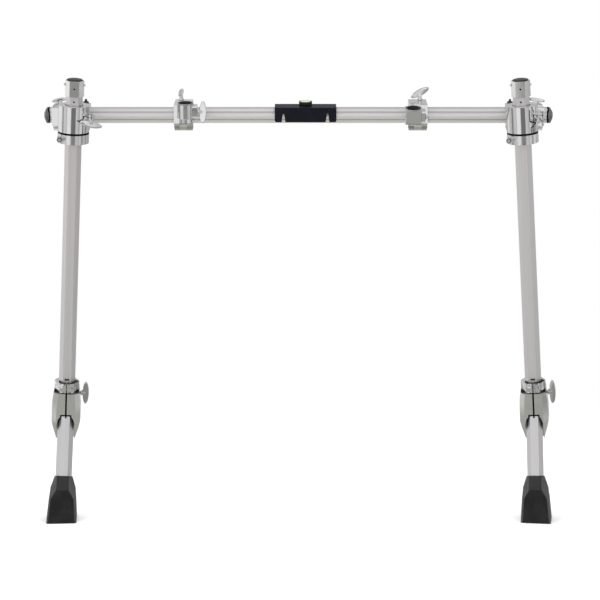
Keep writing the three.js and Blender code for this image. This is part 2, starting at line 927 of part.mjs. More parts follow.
function levelBracket() {
  const half = levelLength / 2;
  const front = tubeCorners / 2 + gap;
  const underside = tubeFlats / 2 + gap;
  const top = underside + levelPlate;
  const back = front + levelSkirt;
  const section = polygon([
    [-back, top],
    [-back, -levelSkirtDrop],
    [-front, -levelSkirtDrop],
    [-front, underside],
    [front, underside],
    [front, -levelRearDrop],
    [back, -levelRearDrop],
    [back, top],
  ]);
  const skirt = roundedBox(-half, half, -levelSkirtDrop, top + 2 * levelCorner, levelCorner);
  const corners = prismY(skirt, -back - overrun, back + overrun);
  const body = prismX(section, -half, half).intersect(corners);
  const slots = [-levelSlotX, levelSlotX].map((x) =>
    join(
      prismY(
        polygon([
          [x - levelSlotWidth / 2, -levelSkirtDrop - overrun],
          [x + levelSlotWidth / 2, -levelSkirtDrop - overrun],
          [x + levelSlotTopWidth / 2, levelSlotTop],
          [x - levelSlotTopWidth / 2, levelSlotTop],
        ]),
        -back - overrun,
        -front + overrun / 2,
      ),
      rodY(levelHoleRadius, -back - overrun, overrun - front, x, levelHoleZ),
    ),
  );
  return cut(body, ...slots);
}

const levelTop = tubeFlats / 2 + gap + levelPlate;

function vialRing() {
  const bottom = levelTop + gap;
  const inside = vialRadius - vialWall;
  return turned([
    [0, bottom],
    [vialRadius, bottom],
    [vialRadius, bottom + vialHeight],
    [inside, bottom + vialHeight],
    [inside, bottom + vialFloor],
    [0, bottom + vialFloor],
  ]);
}

function vialLens() {
  const radius = vialRadius - vialWall - gap;
  const bottom = levelTop + vialFloor + 2 * gap;
  const rim = levelTop + gap + vialHeight;
  const dome = domeProfile(radius, rim, vialDome);
  return turned([[0, bottom], [radius, bottom], ...dome], coarseSides);
}

// Assembly

const frame = new THREE.Group();
const upper = holder(frame);
upper.rotation.x = lean * degree;

piece(upper, "crossbar_tube", hexTube(prismX, -barLength / 2, barLength / 2), anodised);
piece(upper, "crossbar_cap_right", endCap(), blackNylon).position.x = barLength / 2;
const leftCap = piece(upper, "crossbar_cap_left", endCap(), blackNylon);
leftCap.position.x = -barLength / 2;
leftCap.rotation.z = Math.PI;

const level = holder(upper);
level.position.x = levelX;
piece(level, "level_bracket", levelBracket(), blackPaint);
piece(level, "level_vial_ring", vialRing(), blackNylon).position.y = vialY;
piece(level, "level_vial", vialLens(), greenVial).position.y = vialY;

// A bolt at a place, with its shank along an axis and its head turned about that axis
function placeBolt(group, name, solid, place, tip, turn) {
  const mesh = piece(group, name, solid, chrome);
  mesh.position.set(...place);
  mesh.rotation.set(...tip);
  mesh.rotateZ(turn * degree);
  return mesh;
}

const upright = [0, 0, 0];
const upsideDown = [Math.PI, 0, 0];
const outwards = [0, 90 * degree, 0];
const frontwards = [90 * degree, 0, 0];

// Each bolt is left where it was last tightened: its turn in degrees
const sides = [
  {
    name: "left",
    side: -1,
    x: legInsetLeft - barLength / 2,
    splay: splayLeft,
    turn: turnLeft,
    bolts: { ear: -16, jaw: 50, collar: 20, knuckle: 4 },
  },
  {
    name: "right",
    side: 1,
    x: barLength / 2 - legInsetRight,
    splay: -splayRight,
    turn: -turnRight,
    bolts: { ear: -88, jaw: -40, collar: 20, knuckle: -6 },
  },
];
const feet = [];

for (const { name, side, x, splay, turn, bolts } of sides) {
  const clamp = holder(upper);
  clamp.position.x = x;
  const grip = {
    centre: side * cornerGripX,
    width: cornerWidth,
    lugWidth: cornerLug,
    top: gripTop,
    seat: gripSeat,
    front: gripFront,
    boltXs: [side * (cornerGripX - cornerBoltX), side * (cornerGripX + cornerBoltX)],
  };
  const [innerX, outerX] = grip.boltXs;
  piece(clamp, `leg_barrel_${name}`, cornerCasting(grip, splay), chrome);
  piece(clamp, `bar_jaw_${name}`, gripJaw(grip), chrome);
  piece(clamp, `jaw_hinge_pin_${name}`, hingePin(grip), steel);
  const reach = gripSeat + gap + boltReach;
  const jawBolt = wingBolt(jawWingSpan, jawWingHeight, boltRadius, reach);
  const jawPlace = [outerX, boltY, gripSeat + gap];
  placeBolt(clamp, `jaw_wing_bolt_${name}`, jawBolt, jawPlace, upright, bolts.jaw);
  const jawKey = keyBolt(keyRadius, keyHeight, boltRadius, reach);
  const keyPlace = [innerX, boltY, gripSeat + gap];
  placeBolt(clamp, `jaw_key_bolt_${name}`, jawKey, keyPlace, upright, 0);

  const legLine = holder(clamp);
  legLine.position.y = -legForward;
  legLine.rotation.y = splay * degree;
  const earBolt = wingBolt(earWingSpan, earWingHeight, boltRadius, earThickness + earBoltProud);
  const earPlace = [ear.x, ear.y, earBottom - gap];
  placeBolt(legLine, `barrel_wing_bolt_${name}`, earBolt, earPlace, upsideDown, bolts.ear);

  const leg = holder(legLine);
  leg.rotation.z = turn * degree;
  piece(leg, `barrel_liner_${name}`, barrelLiner(), blackNylon);
  piece(leg, `memory_collar_${name}`, memoryCollar(), chrome);
  const boss = 2 * collarBossLength;
  const collarBolt = keyBolt(collarBoltRadius, collarBoltProud, boltRadius, boss);
  const collarPlace = [collarBossX, collarBossY - collarBossLength - gap, collarMiddle];
  placeBolt(leg, `collar_key_bolt_${name}`, collarBolt, collarPlace, frontwards, bolts.collar);
  piece(leg, `leg_tube_${name}`, legTube(), anodised);
  piece(leg, `leg_top_sleeve_${name}`, topSleeve(), chrome);
  piece(leg, `sleeve_screw_${name}`, sleeveScrew(), steel);
  piece(leg, `leg_top_plug_${name}`, topPlug(), blackNylon);
  piece(leg, `knuckle_collar_${name}`, knuckleCollar(), chrome);
  piece(leg, `knuckle_shell_outer_${name}`, knuckleShell(side), chrome);
  piece(leg, `knuckle_shell_inner_${name}`, knuckleShell(-side), chrome);
  const pin = rodX(pivotPinRadius, -pivotPinHalf, pivotPinHalf, 0, pivotZ);
  piece(leg, `knuckle_pivot_pin_${name}`, pin, steel);
  const knuckleSide = knuckleHalfWidth + gap;
  const across = 2 * knuckleSide - overrun;
  const knuckleBolt = wingBolt(knuckleWingSpan, knuckleWingHeight, boltRadius, across);
  const knucklePlace = [knuckleSide, 0, knuckleBoltZ];
  placeBolt(leg, `knuckle_wing_bolt_${name}`, knuckleBolt, knucklePlace, outwards, bolts.knuckle);

  const lower = holder(leg);
  lower.position.z = pivotZ;
  lower.rotation.x = -foldAngle * degree;
  piece(lower, `lower_tube_${name}`, lowerTube(), anodised);
  piece(lower, `lower_head_${name}`, lowerHead(), chrome);
  feet.push({ name, lower });
}

const sideShank = bossEnd - bushingRadius - gap;
const accessories = [
  {
    name: "left",
    x: accessoryLeftX,
    toBar: receiver(receiverDropLeft, receiverTiltLeft),
    corner: receiverCornerLeft,
    gripX: gripLeftX,
    boltX: gripBoltLeftX,
    sideBolt: wingBolt(accessoryWingSpan, accessoryWingHeight, boltRadius, sideShank),
    bolts: { top: 82, side: 155 },
  },
  {
    name: "right",
    x: accessoryRightX,
    toBar: receiver(receiverDropRight, receiverTiltRight),
    corner: receiverCornerRight,
    gripX: gripRightX,
    boltX: gripBoltRightX,
    sideBolt: keyBolt(sideKeyRadius, sideKeyHeight, boltRadius, sideShank),
    bolts: { top: 28, side: 90 },
  },
];

for (const { name, x, toBar, corner, gripX, boltX, sideBolt, bolts } of accessories) {
  const clamp = holder(upper);
  clamp.position.x = x;
  const grip = {
    centre: gripX,
    width: accessoryGripWidth,
    lugWidth: accessoryLug,
    top: accessoryTop,
    seat: accessoryTop - gap,
    front: receiverForward - receiverRadius / 2,
    boltXs: [boltX],
  };
  piece(clamp, `accessory_body_${name}`, accessoryCasting(grip, toBar, corner), chrome);
  piece(clamp, `accessory_jaw_${name}`, gripJaw(grip), chrome);
  piece(clamp, `accessory_hinge_pin_${name}`, hingePin(grip), steel);
  const reach = accessoryTop + gap + boltReach;
  const topBolt = wingBolt(accessoryWingSpan, accessoryWingHeight, boltRadius, reach);
  const topPlace = [boltX, boltY, accessoryTop];
  placeBolt(clamp, `accessory_top_wing_bolt_${name}`, topBolt, topPlace, upright, bolts.top);

  const mouth = holder(clamp);
  mouth.applyMatrix4(toBar);
  piece(mouth, `accessory_bushing_${name}`, bushing(), blackNylon);
  const sidePlace = [bossEnd + gap, 0, sideBoltZ];
  placeBolt(mouth, `accessory_side_bolt_${name}`, sideBolt, sidePlace, outwards, bolts.side);
}

// The soles are cut level with the floor, at the height where the two legs agree

frame.updateMatrixWorld(true);
const soles = feet.map(({ lower }) => lower.localToWorld(new THREE.Vector3(0, 0, -soleCentre)).z);
const floorZ = soles.reduce((sum, z) => sum + z, 0) / soles.length;

for (const { name, lower } of feet) {
  const ground = new THREE.BoxGeometry(4 * barLength, 4 * barLength, barLength);
  ground.translate(0, 0, floorZ - barLength / 2);
  ground.applyMatrix4(lower.matrixWorld.clone().invert());
  piece(lower, `foot_${name}`, cut(footBlock(), solidOf(ground)), blackRubber);
}

const extent = new THREE.Box3().setFromObject(frame, true);
const middle = extent.getCenter(new THREE.Vector3());
frame.position.set(-middle.x, -middle.y, -extent.min.z);

const rack = new THREE.Group();
rack.add(frame);

export default rack;
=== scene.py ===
# %% [markdown]
# # Drum rack frame
# The frame stands on two kicked legs of hexagonal tube and carries a hexagonal crossbar. Cast,
# chrome-plated clamps join the tubes, and wing bolts close them. The solids come from the packed
# CAD frame. This script gives them their surfaces, builds fuller versions of the small cast and
# moulded pieces, and sets up the studio.
#
# The first cell loads the frame and keeps its solids and its record.

import json
import math

import bmesh
import bpy
from mathutils import Matrix, Vector


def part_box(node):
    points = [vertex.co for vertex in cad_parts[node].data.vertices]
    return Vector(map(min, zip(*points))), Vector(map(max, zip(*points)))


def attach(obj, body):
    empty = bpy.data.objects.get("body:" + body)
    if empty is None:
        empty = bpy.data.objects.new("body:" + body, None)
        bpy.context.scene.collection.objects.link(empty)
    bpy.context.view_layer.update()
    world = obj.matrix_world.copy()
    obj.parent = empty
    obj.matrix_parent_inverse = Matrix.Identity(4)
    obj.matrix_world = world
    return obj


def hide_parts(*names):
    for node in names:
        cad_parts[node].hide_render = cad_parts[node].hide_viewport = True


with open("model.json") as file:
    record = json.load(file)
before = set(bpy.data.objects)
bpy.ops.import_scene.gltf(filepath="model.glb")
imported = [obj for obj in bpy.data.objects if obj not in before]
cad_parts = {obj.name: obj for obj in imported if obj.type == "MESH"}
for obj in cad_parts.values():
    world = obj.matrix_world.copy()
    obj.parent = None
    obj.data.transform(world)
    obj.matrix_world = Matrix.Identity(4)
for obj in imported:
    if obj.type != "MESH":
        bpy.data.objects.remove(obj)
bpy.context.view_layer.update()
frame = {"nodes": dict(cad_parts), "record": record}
NODES = frame["nodes"]
JOINTS = {joint["child"]: joint for joint in frame["record"]["behaviour"]["joints"]}

# %% [markdown]
# Lengths are in metres. The rack's top leans forward by ten degrees, and all that sits on the bar
# leans with it, so the lean and the bar's middle are measured once and used throughout.

# %% Shared values
MM = 0.001
SIDES = ("left", "right")
LEAN = math.radians(10)
X = Vector((1, 0, 0))
BAR_LOW, BAR_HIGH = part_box("crossbar_tube")
BAR = (BAR_LOW + BAR_HIGH) / 2
print("bar's middle", tuple(BAR), "length", BAR_HIGH.x - BAR_LOW.x)


# %% [markdown]
# ## Shader maths
# A shader graph is easier to read as a formula. Each Wire is one output socket. Arithmetic on
# wires makes Math nodes, or Vector Math nodes where a colour, a place or a direction takes part,
# because a Math node would keep only one number of it. The reflected forms let a number stand
# first, as in 1 - mask.

# %% Wires
def feed(socket, value):
    """Link a wire into a socket, or set the socket to a value."""
    if isinstance(value, Wire):
        socket.id_data.links.new(value.socket, socket)
    elif socket.type == "RGBA" and len(value) == 3:
        socket.default_value = (*value, 1)
    else:
        socket.default_value = value


class Wire:
    def __init__(self, socket):
        self.socket = socket

    def is_vector(self):
        return self.socket.type in ("VECTOR", "RGBA")

    def maths(self, operation, other=None, swap=False):
        values = [self] if other is None else [self, other]
        if swap:
            values.reverse()
        wires = [v for v in values if isinstance(v, Wire)]
        vector = any(hasattr(v, "__len__") for v in values) or any(w.is_vector() for w in wires)
        if vector and operation == "MULTIPLY":
            values = [(v,) * 3 if isinstance(v, (int, float)) else v for v in values]
        kind = "ShaderNodeVectorMath" if vector else "ShaderNodeMath"
        node = self.socket.id_data.nodes.new(kind)
        node.operation = operation
        for socket, value in zip(node.inputs, values):
            feed(socket, value)
        number = not vector or operation in ("DOT_PRODUCT", "LENGTH")
        return Wire(node.outputs["Value" if number else "Vector"])

    def __add__(self, other):
        return self.maths("ADD", other)

    def __radd__(self, other):
        return self.maths("ADD", other, swap=True)

    def __sub__(self, other):
        return self.maths("SUBTRACT", other)

    def __rsub__(self, other):
        return self.maths("SUBTRACT", other, swap=True)

    def __mul__(self, other):
        return self.maths("MULTIPLY", other)

    def __rmul__(self, other):
        return self.maths("MULTIPLY", other, swap=True)

    def dot(self, other):
        return self.maths("DOT_PRODUCT", other)

    def size(self):
        """The length of a vector, or a number without its sign."""
        return self.maths("LENGTH" if self.is_vector() else "ABSOLUTE")

    def join(self, other):
        """The stronger of two masks."""
        return self.maths("MAXIMUM", other)


print("a wire can", [name for name in vars(Wire) if not name.startswith("_")])


# %% [markdown]
# Any other node comes from one method: its type, then its settings, then what its sockets take.
# The settings come first, because some of them change which sockets a node has.

# %% Node trees
class Tree:
    """The node tree of a material or a world, started empty."""

    def __init__(self, owner):
        owner.use_nodes = True
        self.owner = owner
        self.tree = owner.node_tree
        self.tree.nodes.clear()

    def node(self, kind, settings=None, inputs=None, output=0):
        node = self.tree.nodes.new("ShaderNode" + kind)
        for name, value in (settings or {}).items():
            setattr(node, name, value)
        for name, value in (inputs or {}).items():
            feed(node.inputs[name], value)
        return Wire(node.outputs[output]) if len(node.outputs) else None

    def end(self, shader, kind="OutputMaterial"):
        self.node(kind, inputs={"Surface": shader})
        return self.owner


print("a tree can", [name for name in vars(Tree) if not name.startswith("_")])


# %% [markdown]
# The few nodes that nearly every finish needs get short names. Rise and fall are soft steps, from
# nothing to full and from full to nothing, and all the masks here are drawn with them. A colour
# ramp could do that too, but its stops would hide the two measures that make a mask.

# %% Shader words
class Shader(Tree):
    def place(self):
        return self.node("TexCoord", output="Object")

    def facing(self):
        return self.node("NewGeometry", output="True Normal")

    def split(self, vector):
        first = self.node("SeparateXYZ", inputs={"Vector": vector})
        return [Wire(output) for output in first.socket.node.outputs]

    def about(self, origin, axis):
        """The way from an origin, its part along an axis, and the way straight out of the axis."""
        away = self.place() - origin
        along = away.dot(axis)
        return away, along, away - along * axis

    def noise(self, scale, detail=2, roughness=0.5, vector=None):
        values = {"Scale": scale, "Detail": detail, "Roughness": roughness}
        return self.node("TexNoise", inputs={"Vector": vector or self.place(), **values})

    def ramp(self, value, low, high, to_low, to_high):
        ends = {"From Min": low, "From Max": high, "To Min": to_low, "To Max": to_high}
        soft = {"interpolation_type": "SMOOTHSTEP"}
        return self.node("MapRange", soft, {"Value": value, **ends})

    def rise(self, value, low, high, top=1.0):
        return self.ramp(value, low, high, 0.0, top)

    def fall(self, value, low, high, top=1.0):
        return self.ramp(value, low, high, top, 0.0)

    def mix(self, factor, first, second):
        return self.node("Mix", {"data_type": "RGBA"}, {0: factor, 6: first, 7: second}, output=2)

    def bump(self, height, distance, strength, under=None):
        inputs = {"Height": height, "Distance": distance, "Strength": strength}
        if under:
            inputs["Normal"] = under
        return self.node("Bump", inputs=inputs)

    def principled(self, **inputs):
        named = {name.replace("_", " "): value for name, value in inputs.items()}
        return self.end(self.node("BsdfPrincipled", inputs=named))


print("a shader knows", [name for name in vars(Shader) if not name.startswith("_")])


# %% [markdown]
# ## Directions
# The tubes stand at slants of their own, and their drawn lines, the painted shade in the knuckles'
# hollows and the parting lines on the barrels follow them. Each direction is measured on the solid
# itself, so it stays right when a slant changes.

# %% Tube directions
def corners(node):
    return [vertex.co.copy() for vertex in NODES[node].data.vertices]


def mean(points):
    return sum(points, Vector()) / len(points)


def tube_axis(node):
    """From the middle of a tube's lower end to the middle of its upper end."""
    end = 30 * MM
    points = corners(node)
    top = max(p.z for p in points)
    low = min(p.z for p in points)
    upper = [p for p in points if p.z > top - end]
    lower = [p for p in points if p.z < low + end]
    return (mean(upper) - mean(lower)).normalized()


def top_axis(node):
    """The way the top faces of an upright piece look."""
    tops = [face for face in NODES[node].data.polygons if face.normal.z > 0.7]
    return sum((face.normal * face.area for face in tops), Vector()).normalized()


LEG_AXIS = {side: tube_axis(f"leg_tube_{side}") for side in SIDES}
for side, axis in LEG_AXIS.items():
    print(side, "leg leans", round(math.degrees(axis.angle((0, 0, 1))), 2), "degrees")


# %% [markdown]
# ## Satin anodised tube
# The tube is drawn through a die, so it carries fine lines along its length, and anodising leaves
# it satin. An image of such lines would repeat. Here they are noise that is squeezed across the
# tube and stretched along it: a fine one for the lines, and a broad one for streaks of tone.

# %% Anodised tube
surfaces = {}
TONE = (0.8, 0.776, 0.78)
DRAWN_LINES = (1400.0, 6.0)
BROAD_STREAKS = (160.0, 2.0)


def material(name):
    return Shader(bpy.data.materials.new(name))


def dimmed(tone, share):
    return [part * share for part in tone]


def drawn_noise(s, axis, across_scale, along_scale):
    along = s.place().dot(axis)
    across = s.place() - along * axis
    lengthways = s.node("CombineXYZ", inputs={"X": along})
    return s.noise(1.0, vector=across * across_scale + lengthways * along_scale)


def anodised(name, axis, tone, mark=None):
    """A mark takes the shader, colour and normal, and gives back the marked colour and normal."""
    s = material(name)
    fine = drawn_noise(s, axis, *DRAWN_LINES)
    broad = drawn_noise(s, axis, *BROAD_STREAKS)
    cloud = s.noise(9.0)
    streaked = s.mix(s.rise(broad, 0.35, 0.7), dimmed(tone, 0.95), tone)
    colour = s.mix(s.rise(cloud, 0.3, 0.75, 0.35), streaked, dimmed(tone, 0.93))
    normal = s.bump(fine, 0.02 * MM, 0.35)
    if mark:
        colour, normal = mark(s, colour, normal)
    rough = 0.45 + fine * 0.1 + cloud * 0.06
    return s.principled(Base_Color=colour, Metallic=1.0, Roughness=rough, Normal=normal)


for side in SIDES:
    node = f"leg_tube_{side}"
    surfaces[node] = anodised(f"anodised_{node}", LEG_AXIS[side], TONE)
print("legs", list(surfaces))


# %% [markdown]
# The bar has a shallow groove down the middle of each facet. A modelled groove would break its
# facets into slivers, so the groove is a bump, placed by the turn around the bar's axis. The
# groove's upper wall faces down, and a painted reflection of the floor darkens its colour there.

# %% Grooved bar
FACETS = 6
GROOVE_WALLS = (0.03, 0.15)
UPPER_WALL = 0.07
WALL_SPREAD = (0.02, 0.1)


def grooves(s, colour, normal):
    _, y, z = s.split(s.place() - BAR)
    forward = y * -math.cos(LEAN) - z * math.sin(LEAN)
    up = z * math.cos(LEAN) - y * math.sin(LEAN)
    facet = up.maths("ARCTAN2", forward) * (FACETS / (2 * math.pi))
    across = facet.maths("FLOORED_MODULO", 1.0) - 0.5
    groove = s.rise(across.size(), *GROOVE_WALLS)
    # Painted reflection: a darker band on the groove's upper wall stands in for the mirrored floor.
    wall = s.fall((across - UPPER_WALL).size(), *WALL_SPREAD, 0.85)
    return s.mix(wall, colour, dimmed(TONE, 0.4)), s.bump(groove, 0.6 * MM, 1.0, normal)


surfaces["crossbar_tube"] = anodised("anodised_crossbar", X, TONE, grooves)
print("grooves", FACETS)


# %% [markdown]
# The lower tube is sawn open at its top, where it grips the knuckle's turning head. The solid has
# a short slit. Its walls would mirror the room, so the mark paints them black as the slit's shade,
# and carries this painted shade down to the slit's end, a little under the housing's mouth.

# %% Lower tubes
LOWER_TONE = (0.74, 0.728, 0.74)
SLIT_SHADE_TONE = (0.005, 0.005, 0.005)
SLIT_HALF = (0.0016, 0.0021)
SLIT_FOOT = (-0.0414, -0.041)


def sawn(side, axis):
    fold = JOINTS[f"lower_leg_{side}"]
    pivot, hinge = Vector(fold["pos_m"]), Vector(fold["axis"])

    def mark(s, colour, normal):
        away = s.place() - pivot
        narrow = s.fall(away.dot(hinge).size(), *SLIT_HALF)
        slit = narrow * s.rise(away.dot(axis), *SLIT_FOOT)
        # Painted shade: the slit is coloured near-black, down past the solid's slit to its foot.
        return s.mix(slit, colour, SLIT_SHADE_TONE), normal

    return mark


for side in SIDES:
    node = f"lower_tube_{side}"
    axis = tube_axis(node)
    surfaces[node] = anodised(f"anodised_{node}", axis, LOWER_TONE, sawn(side, axis))
    print(node, "slit at", [round(v, 4) for v in JOINTS[f"lower_leg_{side}"]["pos_m"]])


# %% [markdown]
# ## Chrome on die castings
# A mirror with no flaw looks computed. Chrome follows the casting under it, so broad reflections
# waver, a haze of handling dulls it in patches, and pits in the casting show as fine specks. One
# function makes all the bare metals, from mirror chrome to blackened steel.

# %% Chrome and steel
CHROME = (0.73, 0.73, 0.735)
HAZE = (18.0, 4, 0.6)
PITS = 900.0


def chrome(name, tone=CHROME, roughness=0.07, waver=0.1 * MM, mark=None):
    """A mark takes the shader, colour and roughness, and gives back the marked two."""
    s = material(name)
    haze = s.noise(*HAZE)
    speck = s.noise(PITS)
    colour = s.mix(s.rise(haze, 0.4, 0.75, 0.5), tone, dimmed(tone, 0.93))
    rough = roughness + s.rise(haze, 0.45, 0.8, 0.05) + s.rise(speck, 0.62, 0.7, 0.04)
    if mark:
        colour, rough = mark(s, colour, rough)
    normal = s.bump(s.noise(55.0), waver, 0.5)
    return s.principled(Base_Color=colour, Metallic=1.0, Roughness=rough, Normal=normal)


CAST = {"roughness": 0.1, "waver": 0.2 * MM}
cast = chrome("chrome_casting", **CAST)
soft_cast = chrome("chrome_collar", (0.76, 0.76, 0.765), 0.2, 0.2 * MM)
sleeve = chrome("brushed_sleeve", (0.8, 0.8, 0.8), 0.24, 0.16 * MM)
satin_cast = chrome("satin_casting", (0.5, 0.5, 0.495), 0.3, 0.12 * MM)
satin_jaw = chrome("satin_jaw", (0.4, 0.4, 0.37), 0.32)
bright = chrome("chrome_bolt", (0.78, 0.78, 0.79), 0.1)
steel = chrome("steel", (0.55, 0.55, 0.56), 0.22)
dark_steel = chrome("dark_steel", (0.07, 0.07, 0.074), 0.26)
blackened = chrome("blackened_steel", (0.02, 0.02, 0.021), 0.45)
print("materials", len(bpy.data.materials))


# %% [markdown]
# The accessory clamps are polished down to their foot, which stays as the tumbler left it: satin
# and a little speckled. One casting has both finishes, so a mask by height parts them.

# %% Accessory castings
SATIN = (0.43, 0.43, 0.4)
SATIN_ROUGHER = 0.25
FOOT_EDGE = 0.4 * MM
FOOT_HEIGHT = 16.5 * MM


def satin_foot(node):
    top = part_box(node)[0].z + FOOT_HEIGHT

    def mark(s, colour, rough):
        foot = s.fall(s.place().dot((0, 0, 1)), top, top + FOOT_EDGE)
        speckled = foot * s.ramp(s.noise(PITS), 0.3, 0.7, 0.7, 1.0)
        return s.mix(speckled, colour, SATIN), rough + foot * SATIN_ROUGHER

    return mark


for side in SIDES:
    node = f"accessory_body_{side}"
    surfaces[node] = chrome(f"casting_{node}", mark=satin_foot(node), **CAST)


# %% [markdown]
# The barrel is closed by a hinged part, and the gap between the two runs over the chrome as a bent
# line, black with painted shade. It is about a pixel wide in the picture, so paint does here what
# the shade in a cut groove would, and leaves no slivers in the solid. The line is drawn on the
# unrolled barrel: across by angle, up by height over the lower rim. The distance from its nearest
# stretch gives it an even width.

# %% Parting lines
PARTINGS = {
    "left": ((22, 40), (64, 35)),
    "right": ((29, 62), (29, 37), (62, 30), (33, 22), (33, 1)),
}
BARREL_RADIUS = 40.6 * MM
STROKE = (1.1 * MM, 1.6 * MM)
GAP_SHADE_TONE = (0.004, 0.004, 0.004)


def parting_line(side, turns):
    """The turns of the line, each an angle in degrees and a height in millimetres."""
    axis = LEG_AXIS[side]
    origin = mean(corners(f"leg_tube_{side}"))
    rim = min((p - origin).dot(axis) for p in corners(f"leg_barrel_{side}"))
    across = (X - axis * axis.x).normalized()
    forward = across.cross(axis)
    path = [(math.radians(angle) * BARREL_RADIUS, rim + up * MM) for angle, up in turns]

    def mark(s, colour, rough):
        away = s.place() - origin
        v = away.dot(axis)
        u = away.dot(across).maths("ARCTAN2", away.dot(forward)) * BARREL_RADIUS
        line = 0.0
        for (u0, v0), (u1, v1) in zip(path, path[1:]):
            du, dv = u1 - u0, v1 - v0
            share = ((u - u0) * du + (v - v0) * dv) * (1 / (du * du + dv * dv))
            share = share.maths("MAXIMUM", 0.0).maths("MINIMUM", 1.0)
            off_u, off_v = u - u0 - share * du, v - v0 - share * dv
            gap = (off_u * off_u + off_v * off_v).maths("SQRT")
            line = s.fall(gap, *STROKE).join(line)
        # Painted shade: the gap is coloured near-black along the line.
        return s.mix(line, colour, GAP_SHADE_TONE), rough

    return mark


for side, turns in PARTINGS.items():
    node = f"leg_barrel_{side}"
    surfaces[node] = chrome(f"casting_{node}", mark=parting_line(side, turns), **CAST)
    print(node, "stretches", len(turns) - 1)


# %% [markdown]
# ## Chrome outside, painted shade inside
# The knuckle's housing is chromed on the outside. Its hollow and the rim against the collar are
# painted black as shade, and so are the lip round its mouth and the seam between its halves. All
# of these are one solid with the chrome skin, so a mask tells them apart by the way a face looks
# and by where it lies from the knuckle's pivot, along the leg and across it.

# %% Knuckle housings
HOUSING_LIGHT, HOUSING_DARK = (0.82, 0.82, 0.8), (0.74, 0.74, 0.72)
HOUSING_SHADE_TONE = (0.006, 0.006, 0.006)
CHEEKS = (-0.064, -0.058)
LIP_TOP, LIP_FOOT, LIP_HALF = (-0.0238, -0.0228), (-0.034, -0.03), (0.0125, 0.015)
SEAM_HALF, SEAM_FOOT = (0.0019, 0.0024), (-0.0262, -0.0254)
LOOKS_OUT, LOOKS_DOWN = (0.004, 0.01), (-0.8, -0.5)


def housing(name, side):
    s = material(name)
    axis = LEG_AXIS[side]
    fold = JOINTS[f"lower_leg_{side}"]
    away, along, radial = s.about(Vector(fold["pos_m"]), axis)
    across = away.dot(Vector(fold["axis"])).size()
    outward = s.rise(s.facing().dot(radial), *LOOKS_OUT)
    under = s.fall(s.facing().dot(axis), *LOOKS_DOWN)
    # Painted shade: the hollow, the rim against the collar, the lip and the seam are coloured
    # near-black and not metallic.
    chrome_unshaded = outward.join(under).join(s.fall(along, *CHEEKS))
    lip_shade = s.fall(along, *LIP_TOP) * s.fall(across, *LIP_HALF) * s.rise(along, *LIP_FOOT)
    seam_shade = s.fall(across, *SEAM_HALF) * s.rise(along, *SEAM_FOOT)
    chrome_unshaded = chrome_unshaded * (1.0 - lip_shade.join(seam_shade))
    haze = s.noise(16.0, 4, 0.6)
    tone = s.mix(s.rise(haze, 0.35, 0.75), HOUSING_LIGHT, HOUSING_DARK)
    dull = s.rise(haze, 0.4, 0.8, 0.06) + s.rise(s.noise(620.0), 0.6, 0.7, 0.03)
    return s.principled(
        Base_Color=s.mix(chrome_unshaded, HOUSING_SHADE_TONE, tone),
        Metallic=chrome_unshaded,
        Roughness=0.62 - chrome_unshaded * 0.5 + dull,
        Specular_IOR_Level=0.2,
        Normal=s.bump(s.noise(40.0), 0.12 * MM, 0.5),
    )


for side in SIDES:
    for shell in ("outer", "inner"):
        surfaces[f"knuckle_shell_{shell}_{side}"] = housing(f"housing_{shell}_{side}", side)
print("housings", [name for name in surfaces if name.startswith("knuckle_shell")])


# %% [markdown]
# Two more chromed pieces hold a black ring. On the knuckle's collar it is painted shade: a black
# ring round the leg on its top, where the gap to the leg is, and a dark line of shade where it
# meets the housing. The accessory clamp's bushing is dark on its whole top and in its bore. Both
# are told apart from the chrome by the faces that look up or in.

# %% Ringed pieces
RING_CHROME = (0.8, 0.8, 0.8)
LOOKS_UP, LOOKS_IN = (0.75, 0.9), (-0.006, -0.002)
RING_EDGE = 0.8 * MM


def ringed(name, node, axis, reach, dark, edge=0.0, waver=0.3 * MM):
    """Black on the top within a reach of the axis, on the inner walls and on the lower edge. On the
    collar this black is painted shade.
    """
    s = material(name)
    centre = mean(corners(node))
    _, along, radial = s.about(centre, axis)
    upward = s.rise(s.facing().dot(axis), *LOOKS_UP)
    inward = s.fall(s.facing().dot(radial), *LOOKS_IN)
    # On the collar this black is painted shade: round the leg on its top, in the bore and along the
    # lower edge.
    black_ring_and_shade = (upward * s.fall(radial.size(), reach, reach + RING_EDGE)).join(inward)
    if edge:
        rim = min((p - centre).dot(axis) for p in corners(node)) + edge
        black_ring_and_shade = black_ring_and_shade.join(s.fall(along, rim, rim + edge * 0.4))
    haze = s.noise(*HAZE)
    colour = s.mix(s.rise(haze, 0.4, 0.75, 0.5), RING_CHROME, dimmed(RING_CHROME, 0.9))
    return s.principled(
        Base_Color=s.mix(black_ring_and_shade, colour, (dark, dark, dark)),
        Metallic=1.0 - black_ring_and_shade,
        Roughness=0.08 + black_ring_and_shade * 0.4 + s.rise(haze, 0.4, 0.8, 0.06),
        Specular_IOR_Level=0.2,
        Normal=s.bump(s.noise(48.0), waver, 0.6),
    )


for side in SIDES:
    node = f"accessory_bushing_{side}"
    surfaces[node] = ringed(f"bushing_{side}", node, top_axis(node), 50 * MM, 0.045)
    node, gap_shade_reach = f"knuckle_collar_{side}", 23.5 * MM
    surfaces[node] = ringed(
        f"collar_{side}", node, LEG_AXIS[side], gap_shade_reach, 0.004, edge=1.3 * MM, waver=4 * MM
    )
print("surfaces so far", len(surfaces))


# %% [markdown]
# ## Black plastics and paint
# Black is never flat. Moulded nylon has a fine grain from its tool and a cloudy sheen, powder
# paint has a coarser orange peel, and both show only in how they catch the light. So the grain
# goes into the bump and the roughness, and the colour hardly changes.

